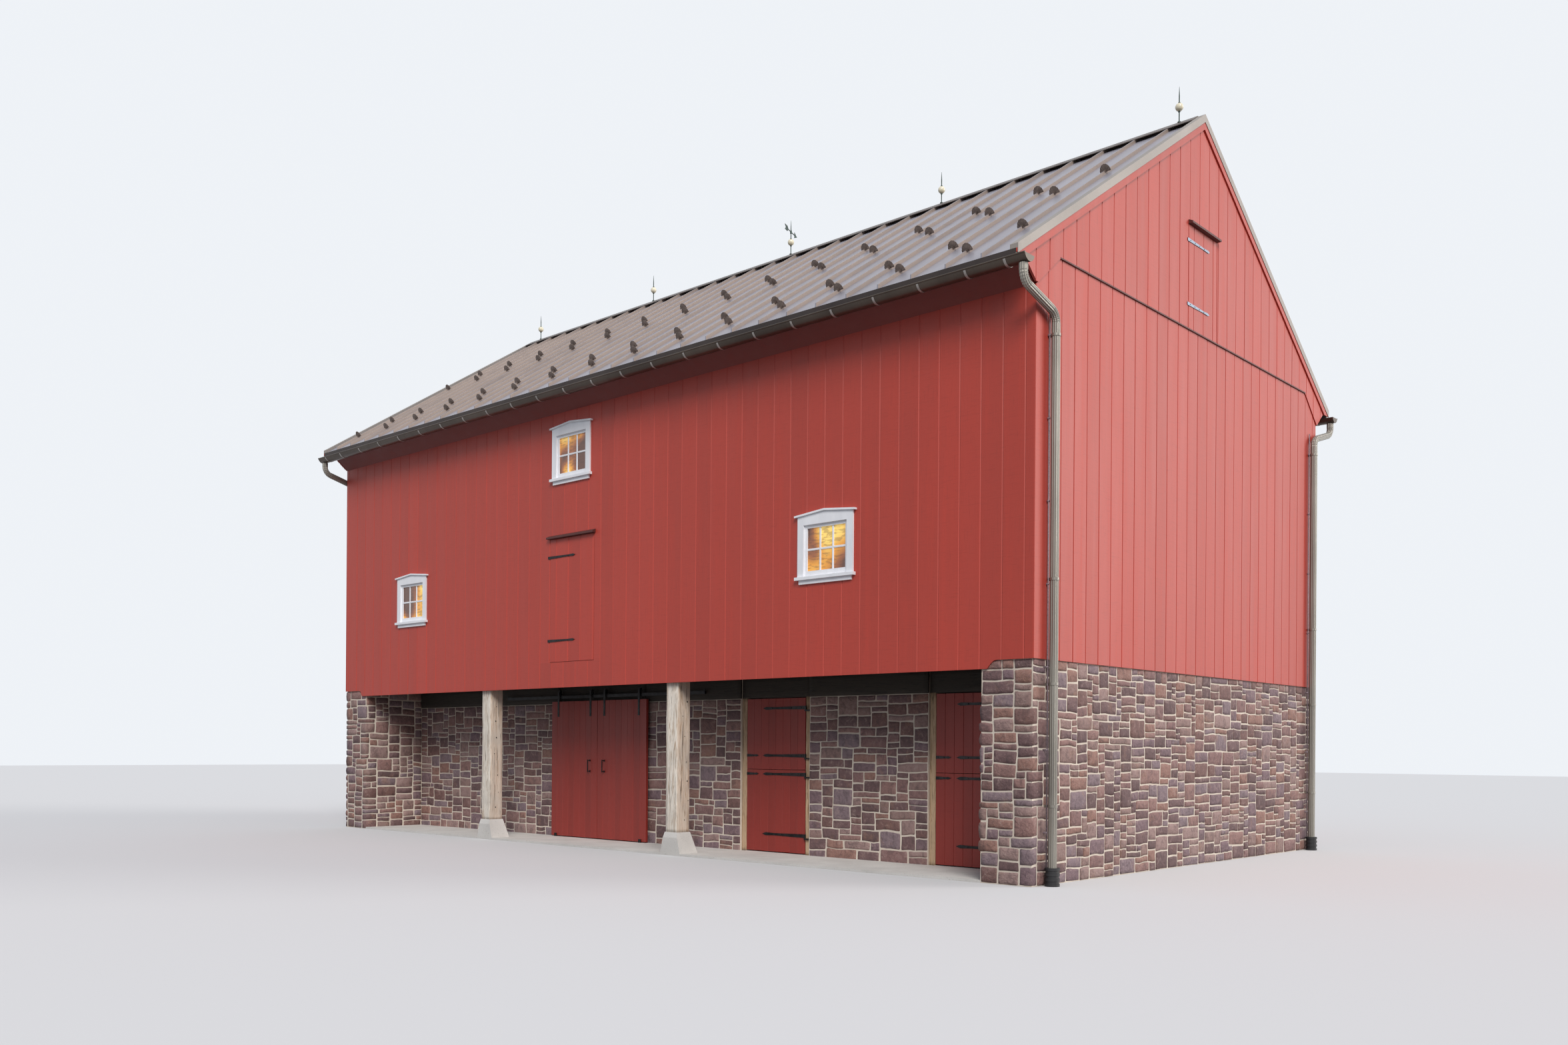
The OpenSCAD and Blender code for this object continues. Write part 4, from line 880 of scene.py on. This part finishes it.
def leaf(kind, node, ledge_z):
    low, high = box(node)
    front = low.y
    back = front + LEAF_T
    shape = Shape()
    edges = np.linspace(low.x, high.x, LEAF_BOARDS + 1)
    for a, b in zip(edges[:-1], edges[1:]):
        left, right = a + GAP / 2, b - GAP / 2
        profile = [(left, front + LEAF_EASE), (left + LEAF_EASE, front), (right - LEAF_EASE, front),
                   (right, front + LEAF_EASE), (right, back), (left, back)]
        shape.prism(profile, 2, low.z, high.z)
    for z in ledge_z:
        shape.box((low.x + LEDGE_IN, back - HAIR, z), (high.x - LEDGE_IN, high.y, z + LEDGE_H), LEAF_EASE)
    fit(shape.build(kind + "_boards", DOORS), kind + "_leaf", "red_door_boards", node)


for side in ("left", "right"):
    low, high = box(side + "_sliding_door")
    heights = np.linspace(low.z + LEDGE_END, high.z - LEDGE_END - LEDGE_H, 3)
    leaf(side + "_sliding", side + "_sliding_door", heights)
    for half in ("upper", "lower"):
        node = side + "_dutch_" + half
        low, high = box(node)
        leaf(side + "_" + half, node, (low.z + LEDGE_H, high.z - 2 * LEDGE_H))

# Window bars: panes three across and two up
BAR_HALF = 0.014
BAR_OUT = 0.012
BAR_LAP = 0.002
BAR_EASE = 0.004
bars = Shape()
pane_half = WIN_HALF - PANE_LIP - SASH_W
for x, z in WINDOWS:
    foot, head = z + WIN_SILL + SASH_FOOT, z + WIN_HEAD - PANE_LIP - SASH_W
    front, back = PANE_LOW.y - BAR_OUT, PANE_HIGH.y + BAR_OUT
    for side in (-1, 1):
        at = x + side * pane_half / 3
        bars.box((at - BAR_HALF, front, foot - BAR_LAP), (at + BAR_HALF, back, head + BAR_LAP), BAR_EASE)
    at = (foot + head) / 2
    bars.box((x - pane_half - BAR_LAP, front + HAIR, at - BAR_HALF),
             (x + pane_half + BAR_LAP, back - HAIR, at + BAR_HALF), BAR_EASE)
fit(bars.build("window_bars", WHITE), "barn", "white_trim")


# Bolt heads on the straps and hangers

STRAP_T = 0.008
STRAP_H = 0.052
PIN_OUT = 0.014
LEAF_BOLTS = (0.09, 0.28, 0.47, 0.66)
LATCH_BOLTS = (0.035, 0.13)
HANGER_T = 0.006
HANGER_IN = 0.045
HANGER_BOLTS = (0.22, 0.13, 0.04)
HATCH_BOLTS = (0.04, 0.18, 0.32, 0.46)
HATCH_STRAPS = (HATCH[2] + 0.345, HATCH[3] - 0.29)
LOFT_STRAPS = (LOFT_HATCH[2] + 0.335, LOFT_HATCH[3] - 0.22)
HEAD_R = 0.010
HANGER_HEAD_R = 0.009
HATCH_HEAD_R = 0.008
HEAD_TALL = 0.6


def bolts(name, body, places, normal, radius):
    """Round heads, each as tall as a share of its radius."""
    shape = Shape()
    for place in places:
        shape.dome(place, normal, radius, radius * HEAD_TALL)
    fit(shape.build(name, IRON, True), body, "black_iron")


strap_face = box("left_dutch_upper")[0].y - STRAP_T
for side in ("left", "right"):
    for half in ("upper", "lower"):
        leaf_low, leaf_high = box(side + "_dutch_" + half)
        low, high = box(side + "_" + half + "_straps")
        pin = leaf_high.x + PIN_OUT
        heights = (low.z + STRAP_H / 2, high.z - STRAP_H / 2)
        latch = heights[0] if half == "upper" else heights[1]
        places = [(pin - along, strap_face, z) for z in heights for along in LEAF_BOLTS]
        places += [(leaf_low.x + along, strap_face, latch) for along in LATCH_BOLTS]
        bolts(side + "_" + half + "_bolts", side + "_" + half + "_leaf", places, (0, -1, 0), HEAD_R)
    low, high = box(side + "_sliding_hardware")
    leaf_low, leaf_high = box(side + "_sliding_door")
    middle = (leaf_low.x + leaf_high.x) / 2
    reach = max(middle - low.x, high.x - middle) - HANGER_IN
    places = [(middle + s * reach, leaf_low.y - HANGER_T, leaf_high.z - down)
              for s in (-1, 1) for down in HANGER_BOLTS]
    bolts(side + "_hanger_bolts", side + "_sliding_leaf", places, (0, -1, 0), HANGER_HEAD_R)

places = [(HATCH[0] + along, -HALF_Y - STRAP_T, z) for z in HATCH_STRAPS for along in HATCH_BOLTS]
bolts("hatch_bolts", "barn", places, (0, -1, 0), HATCH_HEAD_R)
for name, side in (("right", 1), ("left", -1)):
    places = [(side * (UPPER_X + STRAP_T), LOFT_HATCH[0] + along, z)
              for z in LOFT_STRAPS for along in HATCH_BOLTS]
    bolts(name + "_loft_bolts", "barn", places, (side, 0, 0), HATCH_HEAD_R)


# Hewn timber: rough faces that waver a little inward of the plain ones

MARKS = (-1, -0.55, 0, 0.55, 1)
AROUND = 4 * len(MARKS)
BROAD_DENT = 0.5
BROAD_SIZE = 0.3
SMALL_DENT = 0.3
SMALL_SIZE = 0.09
FACE_SHIFTS = (3.1, 5)
MARK_SHIFT = 0.3


def hewn(shape, low, high, axis, wobble, seed, step=0.08, chamfer=0.007):
    """A timber along axis 0 or 2, with marks across each face that are dented by noise."""
    a, b = [i for i in range(3) if i != axis]
    middle = [(p + q) / 2 for p, q in zip(low, high)]
    half = [(q - p) / 2 for p, q in zip(low, high)]
    count = max(int((high[axis] - low[axis]) / step), 3)
    rings = []
    for t in np.linspace(low[axis], high[axis], count + 1):
        for side in range(4):
            run, across = (a, b) if side % 2 == 0 else (b, a)
            way = 1 if side < 2 else -1
            face = -1 if side in (0, 3) else 1
            for mark in MARKS:
                shift = side * FACE_SHIFTS[0] + mark * MARK_SHIFT
                dent = BROAD_DENT + BROAD_DENT * float(noise2(t + seed, shift, BROAD_SIZE, seed))
                shift = side * FACE_SHIFTS[1] + mark
                dent += SMALL_DENT + SMALL_DENT * float(noise2(t, shift, SMALL_SIZE, seed + 2))
                p = middle[run] + way * mark * (half[run] - (chamfer if abs(mark) == 1 else 0))
                q = middle[across] + face * (half[across] - wobble * dent)
                rings.append(spot(axis, float(t), *((p, q) if run == a else (q, p))))
    shape.skin(rings, AROUND)


PLATE_T = 0.02
JAMB_LAP = 0.01
WOBBLE = 0.005
LINTEL_WOBBLE = 0.006
frames = Shape()
# Painted shade: the lintel, the heads over the doors and the plates along the top of the recess wall are
# near-black timber, standing for the deep shade under the forebay.
heads = Shape()
lintel = ((way_low + SLIDE_LAP, RECESS_Y, DOOR_HEAD), (way_high - SLIDE_LAP, ROOM_Y, STONE_TOP))
hewn(heads, *lintel, 0, LINTEL_WOBBLE, 61)
for seed, side in ((62, "left"), (65, "right")):
    low, high = box(side + "_dutch_upper")
    left, right, face = low.x - LEAF_GAP, high.x + LEAF_GAP, low.y
    hewn(frames, (left - JAMB, face, 0), (left, ROOM_Y, DOOR_HEAD + JAMB_LAP), 2, WOBBLE, seed)
    hewn(frames, (right, face, 0), (right + JAMB, ROOM_Y, DOOR_HEAD + JAMB_LAP), 2, WOBBLE, seed + 1)
    hewn(heads, (left - JAMB, face, DOOR_HEAD), (right + JAMB, ROOM_Y, STONE_TOP), 0, WOBBLE, seed + 2)
for i, (start, end) in enumerate(zip(panels[::2], panels[1::2])):
    plate = ((start, RECESS_Y - PLATE_T, DOOR_HEAD), (end, RECESS_Y + PLATE_T, STONE_TOP))
    hewn(heads, *plate, 0, WOBBLE, 71 + i)
fit(frames.build("rough_jambs", FRAME_WOOD, True), "barn", "weathered_timber", "door_frames")
fit(heads.build("rough_heads_in_painted_shade", DARK_WOOD_AND_SHADE, True), "barn", "weathered_timber")

# Posts, with dark pegs down their right-hand faces
POST_WOBBLE = 0.009
POST_STEP = 0.05
POST_CHAMFER = 0.014
PEG_PITCH = 0.29
PEG_ENDS = (0.2, 0.1)
PEG_ACROSS = (0.3, 0.85)
PEG_SHIFT = (-0.06, 0.06)
PEG_R = (0.006, 0.012)
PEG_TALL = 0.003
PEG_SUNK = 0.004
posts = Shape()
pegs = Shape()
post_low, post_high = box("forebay_posts")
post_w = post_high.y - post_low.y
for seed, left in ((71, post_low.x), (73, post_high.x - post_w)):
    near, far = (left, post_low.y, post_low.z), (left + post_w, post_high.y, post_high.z)
    hewn(posts, near, far, 2, POST_WOBBLE, seed, POST_STEP, POST_CHAMFER)
    rand = np.random.default_rng(seed)
    for z in np.arange(post_low.z + PEG_ENDS[0], post_high.z - PEG_ENDS[1], PEG_PITCH):
        y = post_low.y + post_w * float(rand.uniform(*PEG_ACROSS))
        peg = (left + post_w - PEG_SUNK, y, z + float(rand.uniform(*PEG_SHIFT)))
        pegs.dome(peg, (1, 0, 0), float(rand.uniform(*PEG_R)), PEG_TALL, 8)
fit(posts.build("hewn_posts", POST_WOOD, True), "barn", "weathered_timber", "forebay_posts")
fit(pegs.build("post_pegs", DARK_WOOD_AND_SHADE, True), "barn", "weathered_timber")


# Fluted downspouts with crimped elbows and strap bands

FLUTES = 12
FLUTE_DEEP = 0.006
BAND_T = 0.005
BAND_H = 0.03
BAND_EASE = 0.002
BAND_SIDES = 32
PIPE_R = 0.052
PIPE_IN = 0.295
BEAD_UP = 0.01
GUTTER_REACH = 0.05
GUTTER_HALF = 0.1
ELBOW_DROP = 0.466
KNEE_UP = 0.2
ELBOW_R = 0.15
BEND_STEPS = 14
CRIMP = 0.004
pipe_low, pipe_high = box("downspouts")
PIPE_X = pipe_high.x - PIPE_R - BAND_T
PIPE_Y = HALF_Y - PIPE_IN
GUTTER_Z = box("gutters")[1].z - BEAD_UP
GUTTER_Y = EAVE_Y + GUTTER_REACH - GUTTER_HALF
ELBOW_Z = GUTTER_Z - ELBOW_DROP
KNEE_Z = ELBOW_Z + KNEE_UP
BANDS = (0.9, STONE_TOP - 0.3, STONE_TOP + 0.9, ELBOW_Z - 0.26)


def wall_at(z):
    """How far out the end walls stand at a height, boards or stone."""
    return HALF_X if z > STONE_TOP else STONE_X


def arc(before, corner, after, radius, steps):
    """Points of the bend that rounds a corner, with the lengths it takes from both sides."""
    before, corner, after = Vector(before), Vector(corner), Vector(after)
    d1, d2 = (before - corner).normalized(), (after - corner).normalized()
    half = d1.angle(d2) / 2
    trim = radius / math.tan(half)
    centre = corner + (d1 + d2).normalized() * radius / math.sin(half)
    a, b = corner + d1 * trim - centre, corner + d2 * trim - centre
    turn = a.angle(b)
    angles = [turn * i / steps for i in range(steps + 1)]
    return [centre + (a * math.sin(turn - t) + b * math.sin(t)) / math.sin(turn) for t in angles]


def downspout(shape, sx, sy):
    x = sx * PIPE_X
    top = (x, sy * GUTTER_Y, pipe_high.z)
    knee = (x, sy * GUTTER_Y, KNEE_Z)
    elbow = (x, sy * PIPE_Y, ELBOW_Z)
    foot = (x, sy * PIPE_Y, pipe_low.z)
    upper, lower = arc(top, knee, elbow, ELBOW_R, BEND_STEPS), arc(knee, elbow, foot, ELBOW_R, BEND_STEPS)
    path = [Vector(top)] + upper + lower + [Vector(foot)]
    radii = [PIPE_R]
    for bend in (upper, lower):
        radii += [PIPE_R - (CRIMP if i % 2 else 0.0) for i in range(len(bend))]
    radii.append(PIPE_R)
    shape.tube(path, radii, 8 * FLUTES, FLUTES, FLUTE_DEEP)
    for z in BANDS:
        y, crest = sy * PIPE_Y, z + BAND_H
        shape.tube([(x, y, z), (x, y, crest)], PIPE_R + BAND_T, BAND_SIDES)
        near, far = sx * wall_at(z), x - sx * (PIPE_R - BAND_EASE)
        shape.box((near, y - BAND_H / 2, z), (far, y + BAND_H / 2, crest), BAND_EASE)


pipes = Shape()
for sx in (1, -1):
    for sy in (1, -1):
        downspout(pipes, sx, sy)
fit(pipes.build("fluted_downspouts", PIPE), "barn", "gutter_metal", "downspouts")

# Snow guards: dished fans with scalloped edges, on clamps astride the seams
GUARD_R = 0.076
GUARD_TALL = 1.3
LOBES = 7
SCALLOP = 0.04
SCALLOP_POWER = 0.7
FAN_FLUTE = 0.0025
FAN_DISH = 0.012
FAN_T = 0.006
FAN_SUNK = 0.018
FAN_SHARES = (0.12, 0.6, 1.0)
CLAMP_GAP = 0.0005
CLAMP_T = 0.008
CLAMP_HALF = 0.03
CLAMP_DOWN = 0.024
CLAMP_EASE = 0.0015
SCREW_AT = 0.018
SCREW_HALF = 0.006
SCREW_EASE = 0.002
SEAM_PITCH = 0.495
SEAM_W = 0.018
SEAM_H = 0.054
SEAMS = 15
GUARD_ROWS = (1.9, 3.86)
GUARD_STAGGER = 0.42


def fan(shape, place):
    """One guard: x runs along the eave, y up the slope and z square to it, from the top of the seam."""
    turns = np.linspace(0, math.pi, 4 * LOBES + 1)
    section = [(share, 0) for share in FAN_SHARES] + [(share, FAN_T) for share in FAN_SHARES[::-1]]
    rings = []
    for t in turns:
        lobe = abs(math.sin(LOBES * t))
        scallop = 1 - SCALLOP + SCALLOP * lobe ** SCALLOP_POWER
        for share, back in section:
            r = GUARD_R * share * scallop
            dish = FAN_DISH * share ** 2 - FAN_FLUTE * lobe * share
            rings.append((r * math.cos(t), dish + back - FAN_T / 2, r * GUARD_TALL * math.sin(t) - FAN_SUNK))
    shape.skin(rings, len(section), place)
    inner, outer = SEAM_W / 2 + CLAMP_GAP, SEAM_W / 2 + CLAMP_GAP + CLAMP_T
    for a, b in ((-outer, -inner), (inner, outer)):
        shape.box((a, -CLAMP_HALF, -CLAMP_DOWN), (b, CLAMP_HALF, CLAMP_GAP), CLAMP_EASE, place)
    shape.box((-outer, -CLAMP_HALF, CLAMP_GAP), (outer, CLAMP_HALF, CLAMP_T), CLAMP_EASE, place)
    for y in (-SCREW_AT, SCREW_AT):
        far = (outer + SCREW_HALF, y + SCREW_HALF, -SCREW_HALF)
        shape.box((outer - HAIR, y - SCREW_HALF, -SCREW_AT), far, SCREW_EASE, place)


def on_roof(x, y, side):
    """Carries a guard to a seam, so far from the ridge, on the front (-1) or the rear (1) slope."""
    length = math.hypot(1, ROOF_PITCH)
    along, rise = 1 / length, ROOF_PITCH / length
    top = RIDGE_Z - y * ROOF_PITCH + SEAM_H
    return lambda v: (x - side * v[0], side * (y - v[1] * along + v[2] * rise),
                      top + v[1] * rise + v[2] * along)


guards = Shape()
for side in (-1, 1):
    for i in range(-SEAMS, SEAMS):
        for row in GUARD_ROWS:
            fan(guards, on_roof((i + 0.5) * SEAM_PITCH, row + i % 2 * GUARD_STAGGER, side))
fit(guards.build("snow_fans", GUARD), "barn", "roof_metal", "snow_guards")

# Drip edge over each gutter, with a lip that leads the water into it; its dark colour is painted shade for
# the shadowed edge of the roof
SHEET_T = 0.003
DRIP_UP = 0.002
LIP_UP = 0.004
LIP_OUT = 0.016
LIP_FALL = 0.012
drip = Shape()
for sy in (1, -1):
    face = sy * EAVE_Y
    drip.box((-UPPER_X, face, EAVE_LOW + DRIP_UP), (UPPER_X, face + sy * SHEET_T, EAVE_LOW + ROOF_DEEP))
    tip, top = face + sy * LIP_OUT, EAVE_LOW + LIP_UP
    lip = [(face, top), (tip, top - LIP_FALL), (tip, top - LIP_FALL - SHEET_T), (face, top - SHEET_T)]
    drip.prism(lip, 0, -UPPER_X, UPPER_X)
fit(drip.build("drip_edges", DRIP_SHADE), "barn", "roof_metal")

# Dark strip on the step of the gables: painted shade for the shadow under the upper boards
BELT_UP = 0.013
belts = Shape()
for sx in (1, -1):
    near, far = sx * (HALF_X - HAIR), sx * (UPPER_X + SHEET_T)
    belts.box((near, -FLAT_Y, BELT_Z - SHEET_T), (far, FLAT_Y, BELT_Z + BELT_UP))
fit(belts.build("belt_shade_strips", CAP_SHADE), "barn", "red_boards")

# Conductor wires beside both downspouts of the right gable, with their clamps
WIRE_R = 0.008
WIRE_X = HALF_X + 0.022
WIRE_ENDS = (WALL_TOP - 0.2, 0.002)
WIRE_PLACES = (0.262 - HALF_Y, HALF_Y - 0.328)
CLIP_PLACES = np.arange(0.6, WALL_TOP - 0.3, 0.95)
CLIP_T = 0.003
CLIP_HALF = 0.012
CLIP_H = 0.022
CLIP_SUNK = 0.002
wires = Shape()
for y in WIRE_PLACES:
    wires.tube([(WIRE_X, y, z) for z in WIRE_ENDS], WIRE_R, 10)
    for z in CLIP_PLACES:
        near, far = wall_at(z) - CLIP_SUNK, WIRE_X + WIRE_R + CLIP_T
        wires.box((near, y - CLIP_HALF, z), (far, y + CLIP_HALF, z + CLIP_H), CLIP_T)
fit(wires.build("conductor_wires", WIRE, True), "barn", "rod_metal")


# Stage: pale floor, soft sky, a low sun from the right rear and a higher one from the right front

FLOOR_HALF = 90
FLOOR_LIT = (0.18, 0.17, 0.16, 1)
FLOOR_SEEN = (0.74, 0.74, 0.74, 1)
SKY_LIT = (0.80, 0.87, 1.0, 1)
SKY_SEEN = (0.86, 0.89, 0.93, 1)
SKY_STRENGTH = 0.5
paper = new_material("floor_pale")
paper.tree.nodes.remove(paper.tree.nodes["Principled BSDF"])
shades = [paper.add("ShaderNodeBsdfDiffuse", Color=colour) for colour in (FLOOR_LIT, FLOOR_SEEN)]
paper.show("Material Output", *shades)
corners = [(x * FLOOR_HALF, y * FLOOR_HALF, -HAIR) for x, y in ((-1, -1), (1, -1), (1, 1), (-1, 1))]
floor = add_mesh("floor", corners, [(0, 1, 2, 3)], paper.owner)
floor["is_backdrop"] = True

scene.world = bpy.data.worlds.new("studio")
studio = Nodes(scene.world)
sky = studio.tree.nodes["Background"]
studio.feed(sky.inputs["Color"], SKY_LIT)
studio.feed(sky.inputs["Strength"], SKY_STRENGTH)
studio.show("World Output", sky, studio.add("ShaderNodeBackground", Color=SKY_SEEN, Strength=1.0))


def sun(name, direction, energy, angle, colour):
    data = bpy.data.lights.new(name, "SUN")
    data.energy = energy
    data.angle = math.radians(angle)
    data.color = colour
    add_object(name, data).rotation_euler = Vector(direction).to_track_quat("-Z", "Y").to_euler()


sun("low_sun", (-0.66, -0.62, -0.20), energy=1.52, angle=30, colour=(1.0, 0.95, 0.91))
sun("high_sun", (-0.60, 0.52, -0.60), energy=2.35, angle=26, colour=(1.0, 0.96, 0.92))

# Camera at the photograph's place
CAM_PLACE = (15.4265, -17.0027, 1.5406)
CAM_YAW = 42.3658
CAM_ROLL = 0.401
camera_data = bpy.data.cameras.new("view")
camera_data.sensor_width = 36
camera_data.lens = 29.783
camera_data.shift_y = 0.1450
camera_data.clip_end = 400
scene.camera = add_object("view", camera_data)
stand = Matrix.Translation(CAM_PLACE)
for angle, axis in ((CAM_YAW, "Z"), (90, "X"), (CAM_ROLL, "Z")):
    stand = stand @ Matrix.Rotation(math.radians(angle), 4, axis)
scene.camera.matrix_world = stand
scene.view_settings.view_transform = "Standard"

low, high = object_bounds()
